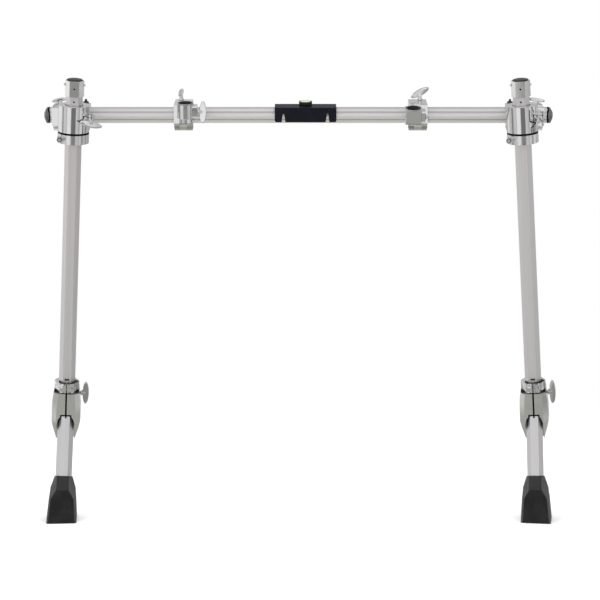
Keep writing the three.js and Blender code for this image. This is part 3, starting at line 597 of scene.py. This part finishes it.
# %% Black pieces
def moulded(name, tone, roughness, grain, grain_scale, coat=0.0, shine=0.5):
    s = material(name)
    fine = s.noise(grain_scale, 3, 0.6)
    cloud = s.noise(22.0, 3)
    sheen = s.ramp(cloud, 0.3, 0.8, -0.04, 0.06) + s.rise(fine, 0.3, 0.7, 0.06)
    return s.principled(
        Base_Color=s.mix(s.rise(cloud, 0.35, 0.7), tone, dimmed(tone, 1.35)),
        Roughness=roughness + sheen,
        Specular_IOR_Level=shine,
        Coat_Weight=coat,
        Coat_Roughness=0.2,
        Normal=s.bump(fine, grain, 0.6),
    )


nylon = moulded("black_nylon", (0.012, 0.012, 0.013), 0.38, 0.02 * MM, 700.0)
black_rim = moulded("black_rim", (0.002, 0.002, 0.002), 0.5, 0.03 * MM, 700.0, shine=0.05)
powder = moulded("black_powder", (0.008, 0.009, 0.014), 0.45, 0.03 * MM, 900.0, shine=0.1)
cap_face = moulded("cap_face", (0.085, 0.085, 0.087), 0.34, 0.04 * MM, 500.0, coat=0.3)
print("materials", len(bpy.data.materials))


# %% [markdown]
# The feet are black rubber. The broad front face is matt and painted a little darker, as shade, and
# the slanted facets beside and above it are a little polished; those to the sides are painted
# lighter grey, a painted sheen. The front face is found on the solid, as the largest one that looks
# forward, and the mask follows the way each face looks.

# %% Rubber feet
RUBBER, LIT_SIDE_FACETS, SHADED_FRONT = (0.014, 0.014, 0.0145), (0.062, 0.062, 0.063), (0.011, 0.011, 0.0115)
SCUFFED = (0.03, 0.03, 0.031)
LOOKS_AHEAD, LOOKS_ASIDE = (0.975, 0.995), (0.2, 0.45)


def foot_rubber(name, node):
    s = material(name)
    fronts = [face for face in NODES[node].data.polygons if face.normal.y < -0.5]
    front = max(fronts, key=lambda face: face.area).normal
    matt = s.rise(s.facing().dot(front), *LOOKS_AHEAD)
    sideways = s.rise(s.facing().dot(X).size(), *LOOKS_ASIDE)
    fine = s.noise(420.0, 3, 0.6)
    # Painted light: the front face is coloured darker and the side facets lighter grey, by the way
    # each face looks.
    tone = s.mix(matt, s.mix(sideways, RUBBER, LIT_SIDE_FACETS), SHADED_FRONT)
    return s.principled(
        Base_Color=s.mix(s.rise(s.noise(24.0, 4, 0.6), 0.35, 0.75, 0.5), tone, SCUFFED),
        Roughness=0.5 + s.rise(fine, 0.3, 0.7, 0.1),
        Specular_IOR_Level=0.12,
        Coat_Weight=0.4 - matt * 0.4,
        Coat_Roughness=0.35,
        Normal=s.bump(fine, 0.05 * MM, 0.6),
    )


for side in SIDES:
    surfaces[f"foot_{side}"] = foot_rubber(f"rubber_{side}", f"foot_{side}")
print("feet", [name for name in surfaces if name.startswith("foot")])


# %% [markdown]
# The vial shows a pale green liquid under a clear dome, with a target circle and a bubble that
# rests near it. Real glass over real liquid would be dark at this size and slow to render, so
# circle and bubble are rings of colour by distance from the middle, under a glossy coat.

# %% Vial
LIQUID, LIQUID_LIGHT, BUBBLE = (0.4, 0.47, 0.3), (0.5, 0.56, 0.4), (0.6, 0.65, 0.52)
BUBBLE_RIM, CIRCLE = (0.25, 0.33, 0.14), (0.03, 0.035, 0.025)
CIRCLE_RADIUS, BUBBLE_RADIUS, LINE = 5.6 * MM, 4.0 * MM, (0.1 * MM, 0.5 * MM)
BUBBLE_OFF = (0.0006, 0.0009, 0)


def vial_glass(name):
    s = material(name)
    low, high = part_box("level_vial_ring")
    settle = {"Rotation": (-LEAN, 0, 0), "Scale": (1, 1, 0)}
    flat = s.node("Mapping", inputs={"Vector": s.place() - (low + high) / 2, **settle})
    swirl = s.noise(60.0)
    circle = s.fall((flat.size() - CIRCLE_RADIUS).size(), 0.2 * MM, 0.6 * MM)
    away = (flat - BUBBLE_OFF).size()
    bubble = s.fall(away, BUBBLE_RADIUS - 0.4 * MM, BUBBLE_RADIUS + 0.2 * MM)
    rim = s.fall((away - BUBBLE_RADIUS).size(), *LINE, 0.5)
    colour = s.mix(bubble, s.mix(swirl, LIQUID, LIQUID_LIGHT), BUBBLE)
    colour = s.mix(circle, s.mix(rim, colour, BUBBLE_RIM), CIRCLE)
    return s.principled(
        Base_Color=colour,
        Roughness=0.08 + swirl * 0.03,
        Coat_Weight=0.6,
        Coat_Roughness=0.03,
        IOR=1.45,
    )


green = vial_glass("vial_glass")
print("vial", green.name)


# %% [markdown]
# ## Dressing the solids
# The packed solids are faceted and sharp, and no real edge is. Their meshes stay as they are, and
# modifiers do the rest: the triangles of a flat face merge, edges are eased by a small bevel that
# catches the light, round parts shade smooth, and weighted normals keep flat faces flat. Marks on
# the mesh itself would not reach the edges that a bevel makes, so shading by angle is a modifier
# too: a small node group of its own.

# %% Shade by angle
SHARP = math.radians(32)


def smooth_group():
    group = bpy.data.node_groups.new("shade_by_angle", "GeometryNodeTree")
    for way in ("INPUT", "OUTPUT"):
        group.interface.new_socket("Geometry", in_out=way, socket_type="NodeSocketGeometry")
    kinds = (
        "NodeGroupInput",
        "GeometryNodeSetShadeSmooth",
        "GeometryNodeSetShadeSmooth",
        "NodeGroupOutput",
        "GeometryNodeInputMeshEdgeAngle",
        "FunctionNodeCompare",
    )
    start, faces, edges, end, angle, sharp = [group.nodes.new(kind) for kind in kinds]
    edges.domain = "EDGE"
    edges.inputs["Shade Smooth"].default_value = False
    sharp.inputs["B"].default_value = SHARP
    group.links.new(start.outputs[0], faces.inputs["Geometry"])
    group.links.new(faces.outputs[0], edges.inputs["Geometry"])
    group.links.new(angle.outputs["Unsigned Angle"], sharp.inputs["A"])
    group.links.new(sharp.outputs[0], edges.inputs["Selection"])
    group.links.new(edges.outputs[0], end.inputs[0])
    return group


SHADE = smooth_group()
print("nodes in the group", len(SHADE.nodes))


# %% [markdown]
# Each kind of piece has its own bevel. A cast housing is rounder at its edges than a sawn tube, and
# the knuckle's collar is rounded most of all. The table goes from the start of a name to its finish
# and its bevel in millimetres. Left and right share a row, and a piece that has a surface of its
# own says None here.

# %% Finish by name
FINISHES = (
    ("crossbar_tube", None, 0.4),
    ("crossbar_cap", nylon, 0.6),
    ("leg_tube", None, 0.4),
    ("lower_tube", None, 0.4),
    ("leg_top_sleeve", sleeve, 0.5),
    ("leg_top_plug", nylon, 0.4),
    ("sleeve_screw", bright, 0.3),
    ("foot", None, 1.4),
    ("lower_head", blackened, 1.0),
    ("knuckle_shell", None, 1.4),
    ("knuckle_collar", None, 3.6),
    ("knuckle_pivot_pin", steel, 0.6),
    ("memory_collar", soft_cast, 0.7),
    ("leg_barrel", None, 1.0),
    ("barrel_liner", black_rim, 0.4),
    ("bar_jaw", cast, 1.2),
    ("jaw_hinge_pin", steel, 0.5),
    ("accessory_body", None, 1.0),
    ("accessory_jaw", satin_jaw, 1.0),
    ("accessory_bushing", None, 0.5),
    ("accessory_hinge_pin", steel, 0.5),
    ("level_bracket", powder, 0.6),
    ("level_vial_ring", nylon, 0.5),
    ("level_vial", green, 0),
    ("", bright, 0.5),
)
print("rows", len(FINISHES))


# %% [markdown]
# The modifiers come in the order of the work: weld the corners, merge flat faces, ease the edges,
# then shade. The other way round, the bevel would follow every triangle's edge.

# %% Modifiers
def paint(obj, surface):
    obj.data.materials.clear()
    obj.data.materials.append(surface)


def modify(obj, name, kind, **settings):
    modifier = obj.modifiers.new(name, kind)
    for key, value in settings.items():
        setattr(modifier, key, value)


def finish_solid(obj, bevel):
    modify(obj, "weld", "WELD", merge_threshold=0.02 * MM)
    flat = {"decimate_type": "DISSOLVE", "angle_limit": math.radians(0.6)}
    modify(obj, "flat_faces", "DECIMATE", **flat)
    if bevel:
        corner = {"limit_method": "ANGLE", "angle_limit": math.radians(35)}
        soft = {"width": bevel * MM, "segments": 2, "harden_normals": False}
        modify(obj, "eased_edges", "BEVEL", **corner, **soft)
    modify(obj, "shade", "NODES", node_group=SHADE)
    modify(obj, "level_normals", "WEIGHTED_NORMAL", weight=100, keep_sharp=True)


print("bevelled kinds", sum(1 for row in FINISHES if row[2]))

# %% [markdown]
# Every solid of the frame gets its finish now, also those that a fuller piece will stand for, so
# that none is left bare if that piece is taken out again.

# %% Dress the solids
for name, obj in NODES.items():
    _, shared, bevel = next(row for row in FINISHES if name.startswith(row[0]))
    paint(obj, surfaces.get(name, shared))
    finish_solid(obj, bevel)
print("dressed", len(NODES), "with", len(bpy.data.materials), "materials")


# %% [markdown]
# ## Fuller small pieces
# The packed solids of the bolts, caps and vial are plain. Their places and sizes are right, so
# each is measured in its own frame and built again with the forms of the real one. A modelling
# tool's primitives would have to be cut and joined for this. Rings of points that are skinned
# together give the same forms with even faces: closed skins, hoops, turned bodies and threads.

# %% Skins of rings
def around(steps):
    angles = [2 * math.pi * i / steps for i in range(steps)]
    return [(math.cos(a), math.sin(a)) for a in angles]


class Build:
    """Rings of points, given in a frame of their own and joined into closed skins."""

    def __init__(self, place):
        self.shape = bmesh.new()
        self.place = place

    def loops(self, rings):
        return [[self.shape.verts.new(self.place @ Vector(p)) for p in ring] for ring in rings]

    def strip(self, low, high, surface):
        for i, j in zip(range(len(low)), [*range(1, len(low)), 0]):
            face = self.shape.faces.new((low[i], low[j], high[j], high[i]))
            face.material_index = surface

    def rings(self, rings, surface=0):
        """A body that is closed by its first and last ring."""
        loops = self.loops(rings)
        for end in (loops[0][::-1], loops[-1]):
            self.shape.faces.new(end).material_index = surface
        for low, high in zip(loops, loops[1:]):
            self.strip(low, high, surface)

    def hoop(self, sections):
        """A ring-shaped body: sections all the way round, each a closed outline."""
        loops = self.loops(sections)
        for section, following in zip(loops, loops[1:] + loops[:1]):
            self.strip(section, following, 0)

    def turned(self, profile, steps=40, surface=0):
        turn = around(steps)
        self.rings([[(r * c, r * s, z) for c, s in turn] for r, z in profile], surface)

    def piece(self, name, body, surfaces, node):
        bmesh.ops.recalc_face_normals(self.shape, faces=self.shape.faces)
        mesh = bpy.data.meshes.new(name)
        self.shape.to_mesh(mesh)
        self.shape.free()
        obj = bpy.data.objects.new(name, mesh)
        bpy.context.scene.collection.objects.link(obj)
        for surface in surfaces:
            mesh.materials.append(surface)
        modify(obj, "shade", "NODES", node_group=SHADE)
        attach(obj, body)
        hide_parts(node)
        print(name, "faces", len(mesh.polygons), "for", node)


# %% [markdown]
# A rolled thread is one ridge that winds up the shank. Each ring of points is a level, and the
# ridge's place on it moves round with the height, so the rings together show a true helix.

# %% Threads
PITCH, THREAD_DEPTH = 1.5 * MM, 0.7 * MM
THREAD_TOP = 0.4 * MM
LEVELS_PER_TURN, THREAD_STEPS = 4, 20


def thread(build, radius, low, surface):
    count = max(2, round((THREAD_TOP - low) / PITCH * LEVELS_PER_TURN))
    rings = []
    for level in range(count + 1):
        z = low + (THREAD_TOP - low) * level / count
        end = THREAD_DEPTH if level in (0, count) else 0
        ring = []
        for i, (c, s) in enumerate(around(THREAD_STEPS)):
            ridge = abs(2 * ((z / PITCH - i / THREAD_STEPS) % 1.0) - 1)
            r = radius - THREAD_DEPTH * (1 - ridge) - end
            ring.append((r * c, r * s, z))
        rings.append(ring)
    build.rings(rings, surface)


print("thread pitch", PITCH)


# %% [markdown]
# Every bolt sits at a slant. Its joint says where its axis is, and the corner that lies farthest
# from the axis says how it is turned. With these two, all its sizes are plain heights and radii.

# %% A bolt's own frame
TIP_SHARE = 0.97
UNDER_HEAD = -0.5 * MM


def radius_of(points):
    return max(math.hypot(p.x, p.y) for p in points)


def bolt_frame(node):
    """Its place, z out of the seat and x along the leaf, and the solid's corners in that frame."""
    joint = JOINTS[node]
    z = Vector(joint["axis"]).normalized()
    origin = Vector(joint["pos_m"])
    outward = [p - origin - z * (p - origin).dot(z) for p in corners(node)]
    far = max(outward, key=lambda p: p.length)
    tips = [p for p in outward if p.length > TIP_SHARE * far.length and p.dot(far) > 0]
    x = sum(tips, Vector()).normalized()
    place = Matrix((x, z.cross(x), z)).transposed().to_4x4()
    place.translation = origin
    inverse = place.inverted()
    return place, [inverse @ p for p in corners(node)]


def shank_of(points):
    """The shank's radius and the height of its tip."""
    return radius_of([p for p in points if p.z < UNDER_HEAD]), min(p.z for p in points)


print("bolts", [child for child in JOINTS if "bolt" in child])


# %% [markdown]
# A wing bolt is a zinc casting: an oval leaf that two fingers turn, thickest in the middle and
# soft at its rim, on a waisted hub with a rolled thread under it. A flat oval would look cut from
# sheet, so the leaf is a stack of ovals that grow and shrink through its thickness. The leaves
# aren't all alike: two stand higher on their hubs, and two slant.

# %% Wing bolts
LEAF_FOOT = 3.5 * MM
LEAF_REACH = 8.5 * MM
LEAF_SKIN = ((0.52, 1.0), (0.8, 0.96), (0.92, 0.78), (0.985, 0.42), (1.0, 0.0))
LEAF_STEPS = 48
HUB_FOOT = ((0.9, 0.0), (1.0, 0.6 * MM), (1.0, 2 * MM), (0.9, 2.6 * MM), (0.72, 4.2 * MM))
LEVEL = 0.2 * MM


def wing_bolt(node, surfaces, raised=0.0, slant=0.0):
    place, points = bolt_frame(node)
    leaf = [p for p in points if p.z > 0 and math.hypot(p.x, p.y) > LEAF_REACH]
    span, thick, top = (max(p[i] for p in leaf) for i in range(3))
    half = (top - LEAF_FOOT) / 2
    centre = (top + LEAF_FOOT) / 2 + raised
    hub = radius_of([p for p in points if abs(p.z) < LEVEL])
    build = Build(place)
    back = [(share, -depth) for share, depth in LEAF_SKIN]
    front = [(share, depth) for share, depth in LEAF_SKIN[-2::-1]]
    pivot = Matrix.Translation((0, 0, centre))
    tilt = pivot @ Matrix.Rotation(slant, 4, "Y") @ pivot.inverted()
    turn = around(LEAF_STEPS)
    rings = []
    for share, depth in back + front:
        wide, tall, y = span * share, half * share, thick * depth
        rings.append([tilt @ Vector((wide * c, y, centre + tall * s)) for c, s in turn])
    build.rings(rings)
    waist = (*HUB_FOOT, (0.66, centre * 0.8), (0.5, centre))
    build.turned([(hub * share, z) for share, z in waist])
    thread(build, *shank_of(points), surface=1)
    build.piece(f"{node}_cast", node, surfaces, node)


print("leaf rings", 2 * len(LEAF_SKIN) - 1)


# %% [markdown]
# Nine wing bolts of one form close the knuckles, jaws, barrels and receivers. The knuckle's are
# satin castings, the others chromed. One function for all keeps them alike, and the few leaves
# that differ are listed by name.

# %% All wing bolts
LEAVES = {
    "barrel_wing_bolt_left": {"slant": math.radians(-12)},
    "accessory_top_wing_bolt_left": {"raised": 5 * MM},
    "accessory_top_wing_bolt_right": {"raised": 5 * MM, "slant": math.radians(-20)},
}
for side in SIDES:
    wing_bolt(f"knuckle_wing_bolt_{side}", (satin_cast, steel))
    for kind in ("jaw_wing_bolt", "barrel_wing_bolt", "accessory_top_wing_bolt"):
        node = f"{kind}_{side}"
        wing_bolt(node, (bright, steel), **LEAVES.get(node, {}))
wing_bolt("accessory_side_bolt_left", (bright, steel))


# %% [markdown]
# A key bolt is turned with a drum key, so it ends in a small square. Under it are a chamfered
# collar and a broad washer. A bevel would need a modifier for the square alone, so the square's
# rings have cut corners from the start, and the last one is drawn in.

# %% Key bolts
SOFT = 0.5 * MM
QUADRANTS = ((1, 1), (-1, 1), (-1, -1), (1, -1))
RIM_SHARE = 0.97


def key_square(square, low, top):
    """Rings of eight points: a square with cut corners, drawn in at its top."""
    rings = []
    for inset, z in ((0, low), (0, top - SOFT), (SOFT, top)):
        half = square - inset
        cut = half - SOFT - inset
        ring = []
        for x, y in QUADRANTS:
            pair = [(x * half, y * cut, z), (x * cut, y * half, z)]
            ring += pair if x * y > 0 else pair[::-1]
        rings.append(ring)
    return rings


def key_bolt(node, surfaces):
    place, points = bolt_frame(node)
    top = max(p.z for p in points)
    rim = radius_of(points)
    head = max(p.z for p in points if math.hypot(p.x, p.y) > rim * RIM_SHARE)
    square = radius_of([p for p in points if p.z > top - LEVEL]) / math.sqrt(2)
    build = Build(place @ Matrix.Rotation(math.radians(45), 4, "Z"))
    washer = [(0.94, 0.0), (1.0, 0.3 * MM), (1.0, head * 0.32), (0.95, head * 0.42)]
    build.turned([(rim * share, z) for share, z in washer], surface=1)
    collar = [(rim * 0.86, 0.4), (rim * 0.86, 0.8), (rim * 0.8, 1.0), (square * 1.1, 1.02)]
    build.turned([(r, head * share) for r, share in collar])
    build.rings(key_square(square, head * 0.9, top))
    thread(build, *shank_of(points), surface=2)
    build.piece(f"{node}_turned", node, surfaces, node)


print("key bolt corners", len(QUADRANTS) * 2)


# %% [markdown]
# The key bolts of the jaws are dark, those of the memory collars satin with a black ring, and the
# right receiver's is bright on a nylon washer.

# %% All key bolts
for side in SIDES:
    key_bolt(f"jaw_key_bolt_{side}", (dark_steel, steel, steel))
    key_bolt(f"collar_key_bolt_{side}", (satin_cast, black_rim, steel))
key_bolt("accessory_side_bolt_right", (bright, nylon, steel))


# %% [markdown]
# The bar and its caps have six corners, and a moulded corner is round. A bevel would round the
# faces' edges too, so the outline itself is drawn round: at each corner a few points on an arc.

# %% Six-cornered outline
CAP_ROUND = 1.8 * MM
ARC_STEPS = 4


def hexagon(reach, x):
    """An outline with six rounded corners, in the plane across the bar."""
    ring = []
    for i in range(FACETS):
        middle = 2 * math.pi * i / FACETS
        for k in range(ARC_STEPS + 1):
            facing = middle + (k / ARC_STEPS - 0.5) * 2 * math.pi / FACETS
            centre = reach - CAP_ROUND / math.cos(math.pi / FACETS)
            y = centre * math.cos(middle) + CAP_ROUND * math.cos(facing)
            z = centre * math.sin(middle) + CAP_ROUND * math.sin(facing)
            ring.append((x, y, z))
    return ring


print("outline points", len(hexagon(1.0, 0.0)))


# %% [markdown]
# The bar's ends are closed by moulded caps. A black rim lies against the tube, and the face is a
# little greyer where six facets fall away to a small flat. Seen from the front the rim bulges
# outwards in the middle, so rim and face are shifted by the square of the height. Each row of the
# face is a start, a share of the cap's depth, a share of its reach, and whether it bulges too.

# %% Bar caps
BULGE = 4.4 * MM
RIM_SHIFT, RIM_WIDTH, FACE_SHIFT = 2.8 * MM, 3.4 * MM, 6.2 * MM
PLUG, PLUG_SHARE, RIM_INNER = (0.4 * MM, 4 * MM), 0.94, 0.945
CAP_FACE = (
    (0.0, 0.0, 0.9, 1),
    (0.8 * MM, 0.0, 0.985, 1),
    (0.0, 0.6, 0.985, 0),
    (0.0, 0.66, 0.95, 0),
    (0.0, 1.0, 0.4, 0),
)


def bar_cap(side, surfaces):
    node = f"crossbar_cap_{side}"
    low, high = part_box(node)
    middle = (low + high) / 2
    outward, seat, end = (1, BAR_HIGH.x, high.x) if side == "right" else (-1, BAR_LOW.x, low.x)
    depth = abs(end - seat)
    place = Matrix.Translation((seat, middle.y, middle.z)) @ Matrix.Rotation(LEAN, 4, "X")
    build = Build(place @ Matrix.Diagonal((outward, 1, 1, 1)))
    reach = max(math.hypot(p.y - middle.y, p.z - middle.z) for p in corners(node))
    build.rings([hexagon(reach * PLUG_SHARE, x) for x in PLUG], surface=2)
    sections = []
    for (_, y0, z0), (_, y1, z1) in zip(hexagon(reach * RIM_INNER, 0), hexagon(reach, 0)):
        near = RIM_SHIFT - (y1 / reach) ** 2 * BULGE
        far = near + RIM_WIDTH
        sections.append([(near, y0, z0), (near, y1, z1), (far, y1, z1), (far, y0, z0)])
    build.hoop(sections)
    rings = []
    for start, part, share, bulged in CAP_FACE:
        ring = hexagon(reach * share, start + depth * part)
        shifts = [bulged * (FACE_SHIFT - (y / reach / share) ** 2 * BULGE) for _, y, _ in ring]
        rings.append([(px + shift, y, z) for (px, y, z), shift in zip(ring, shifts)])
    build.rings(rings, surface=1)
    build.piece(f"{node}_moulded", "crossbar", surfaces, node)


for side in SIDES:
    bar_cap(side, (black_rim, cap_face, surfaces["crossbar_tube"]))


# %% [markdown]
# The level is a bull's-eye vial. A black ring holds a domed window, and both are turned bodies
# about an axis that leans with the bar, so they share one frame.

# %% Level vial
VIAL_STEPS = 56
WALL = 2.6 * MM


def level_vial():
    tilt = Matrix.Rotation(LEAN, 4, "X")
    middle = mean(corners("level_vial_ring"))
    place = Matrix.Translation(middle) @ tilt
    inverse = place.inverted()
    local = [inverse @ p for p in corners("level_vial_ring")]
    floor, top = min(p.z for p in local), max(p.z for p in local)
    radius = radius_of(local)
    inner = radius - WALL
    profile = [
        (inner, floor + 2 * MM),
        (inner, top - 0.7 * MM),
        (inner + 0.6 * MM, top),
        (radius - 0.8 * MM, top),
        (radius, top - 0.8 * MM),
        (radius, floor + 1.2 * MM),
        (radius - 0.5 * MM, floor + 0.2 * MM),
        (inner, floor + 0.2 * MM),
    ]
    ring = Build(place)
    ring.hoop([[(r * c, r * s, z) for r, z in profile] for c, s in around(VIAL_STEPS)])
    ring.piece("level_vial_ring_moulded", "level", (nylon,), "level_vial_ring")
    crown = max((inverse @ p).z for p in corners("level_vial"))
    rim, edge = inner - 0.3 * MM, top - 0.2 * MM
    dome = [(rim * c, edge + (crown - edge) * s) for c, s in around(32)[:8]]
    window = Build(place)
    wall = [(rim, floor + 2.2 * MM), (rim, edge - 0.4 * MM)]
    window.turned([*wall, *dome, (0.4 * MM, crown)], VIAL_STEPS)
    window.piece("level_vial_window", "level", (green,), "level_vial")


level_vial()


# %% [markdown]
# ## Studio
# Chrome shows nothing but the room. A white room with a long dark opening in front, the way small
# chromed goods are photographed, gives each casting its dark middle, and the gaps between the
# panels draw upright bands beside it. The room's floor is darker than its walls, so downward
# facets turn grey. Panels in the scene could do the same, but they would show to the camera from
# other sides, and a world is a formula that is cheap to tune.
#
# Directions are angles in degrees: azimuth runs round from the front, and height up from level.
# Each band is the azimuth of its middle, half its width, and how much light it leaves.

# %% Room for the metals
BANDS = (
    (-160, 18, 0.55),
    (-83, 6, 0.35),
    (-51, 4, 0.6),
    (33, 6, 0.65),
    (46, 6, 0.5),
    (74, 7, 0.35),
    (91, 6, 0.8),
    (112, 9, 0.4),
    (141, 14, 0.45),
    (180, 30, 0.6),
)
OPENING_AT, OPENING, OPENING_DEPTH = 3, (14, 24), 0.8
HORIZON = (-14, -8)
TO_SIDES, SIDE_FLOOR, FLOOR_EDGE, FLOOR_DROP = (45, 70), 0.35, (-29, -25), 5.0
WALL_TINT, FLOOR_TINT = (1.0, 1.0, 1.0), (1.0, 1.005, 0.94)


def room_seen_in_metal(s):
    x, y, z = s.split(s.node("TexCoord", output="Generated"))
    azimuth = x.maths("ARCTAN2", y * -1.0) * (180 / math.pi)
    height = z.maths("ARCSINE") * (180 / math.pi)
    opening = s.fall((azimuth - OPENING_AT).size(), *OPENING) * s.fall(height, *HORIZON)
    level = s.ramp(height, 12, 42, 1.0, 0.9) * (1.0 - opening * OPENING_DEPTH)
    for centre, half, depth in BANDS:
        off = (azimuth - centre).size()
        level = level * s.ramp(off, half * 0.6, half * 1.4, depth, 1.0)
    sideways = s.rise(azimuth.size(), *TO_SIDES)
    level = level * (1.0 - sideways * s.fall(height, *HORIZON, SIDE_FLOOR))
    ground = s.fall(height - sideways * FLOOR_DROP, *FLOOR_EDGE)
    floor_level = s.ramp(height, -78, -42, 0.92, 0.42)
    level = level + (floor_level - level) * ground
    tint = s.mix(ground, WALL_TINT, FLOOR_TINT)
    return height, s.node("Background", inputs={"Color": tint, "Strength": level})


print("bands", len(BANDS))


# %% [markdown]
# The ray's kind decides which world it meets. Plain white for the camera gives the white backdrop
# of a catalogue picture with no light spilled on the object, and matt surfaces get a sky that is
# brighter above than at the horizon, so that undersides turn darker as they would on a floor.

# %% World
GROUND_SKY, ZENITH = 0.2, 1.15


def studio_world():
    world = bpy.data.worlds.new("studio")
    bpy.context.scene.world = world
    s = Shader(world)
    height, glossy = room_seen_in_metal(s)
    sky = s.ramp(height, 0, 60, GROUND_SKY, ZENITH)
    diffuse = s.node("Background", inputs={"Color": (1, 1, 1), "Strength": sky})
    white = s.node("Background", inputs={"Color": (1, 1, 1), "Strength": 1.0})
    mirror = s.node("LightPath", output="Is Glossy Ray")
    seen = s.node("LightPath", output="Is Camera Ray")
    room = s.node("MixShader", inputs={0: mirror, 1: diffuse, 2: glossy})
    s.end(s.node("MixShader", inputs={0: seen, 1: room, 2: white}), "OutputWorld")
    print("world nodes", len(world.node_tree.nodes))


studio_world()


# %% [markdown]
# The floor is there for the feet's soft shadow. A plain disc would end in a visible edge against
# the white, so its matt surface fades to clear, long before its rim. It is hidden from glossy
# rays, since the room that metal sees has a floor of its own.

# %% Floor
FLOOR_REACH = 2.6
FADE = (0.75, FLOOR_REACH * 0.8)


def studio_floor():
    mesh = bpy.data.meshes.new("floor")
    shape = bmesh.new()
    bmesh.ops.create_circle(shape, cap_ends=True, segments=96, radius=FLOOR_REACH)
    shape.to_mesh(mesh)
    shape.free()
    floor = bpy.data.objects.new("floor", mesh)
    bpy.context.scene.collection.objects.link(floor)
    s = material("pale_floor")
    rough = 0.8 + s.noise(30.0) * 0.1
    matt = s.node("BsdfPrincipled", inputs={"Base Color": (0.93, 0.93, 0.93), "Roughness": rough})
    fade = s.rise(s.place().size(), *FADE)
    clear = s.node("BsdfTransparent")
    paint(floor, s.end(s.node("MixShader", inputs={0: fade, 1: matt, 2: clear})))
    floor.visible_glossy = False
    print("floor fades from", FADE)


studio_floor()


# %% [markdown]
# Three large soft lights: one overhead, one window to the left and a weaker one to the right.
# Small ones would draw hard shadows. They shape the rubber, the paint and the shadow on the floor.
# Metal doesn't see them, as its room is the world's.

# %% Lights
LIGHTS = (
    ("overhead", (0.0, -0.3, 3.2), (0, 0, 0), (3.0, 2.4), 60),
    ("left_window", (-2.6, -2.2, 1.7), (0, 0, 0.6), (1.2, 2.4), 30),
    ("right_fill", (2.6, -2.4, 1.5), (0, 0, 0.6), (1.0, 2.2), 18),
)
for name, place, target, size, power in LIGHTS:
    data = bpy.data.lights.new(name, "AREA")
    data.shape = "RECTANGLE"
    data.size, data.size_y = size
    data.energy = power
    lamp = bpy.data.objects.new(name, data)
    bpy.context.scene.collection.objects.link(lamp)
    lamp.location = place
    aim = Vector(target) - Vector(place)
    lamp.rotation_euler = aim.to_track_quat("-Z", "Y").to_euler()
    lamp.visible_glossy = False
    print(name, power, "W")


# %% [markdown]
# The ellipses on the leg tops and the receivers say that the camera looks down by seven degrees.
# It stands far off with a long lens, which keeps the two legs alike, and the focal length comes
# from the size of the frame in the picture. The aim is a point between the legs, in their plane.

# %% Camera
FOCAL_PIXELS, PICTURE, SENSOR = 1939, 600, 36
ELEVATION = math.radians(7)
DISTANCE = 4.5
AIM = Vector((0, -52 * MM, -425.7 * MM))
AIM_SIDE = Vector((3.4 * MM, 0, 0))

target = BAR + Matrix.Rotation(LEAN, 3, "X") @ AIM + AIM_SIDE
data = bpy.data.cameras.new("camera")
data.sensor_width = SENSOR
data.lens = FOCAL_PIXELS / PICTURE * SENSOR
camera = bpy.data.objects.new("camera", data)
bpy.context.scene.collection.objects.link(camera)
back = Vector((0, -math.cos(ELEVATION), math.sin(ELEVATION)))
camera.location = target + DISTANCE * back
camera.rotation_euler = (math.radians(90) - ELEVATION, 0, 0)
bpy.context.scene.camera = camera
bpy.context.scene.view_settings.view_transform = "Standard"
print("camera at", tuple(camera.location), "lens", data.lens)

# %% [markdown]
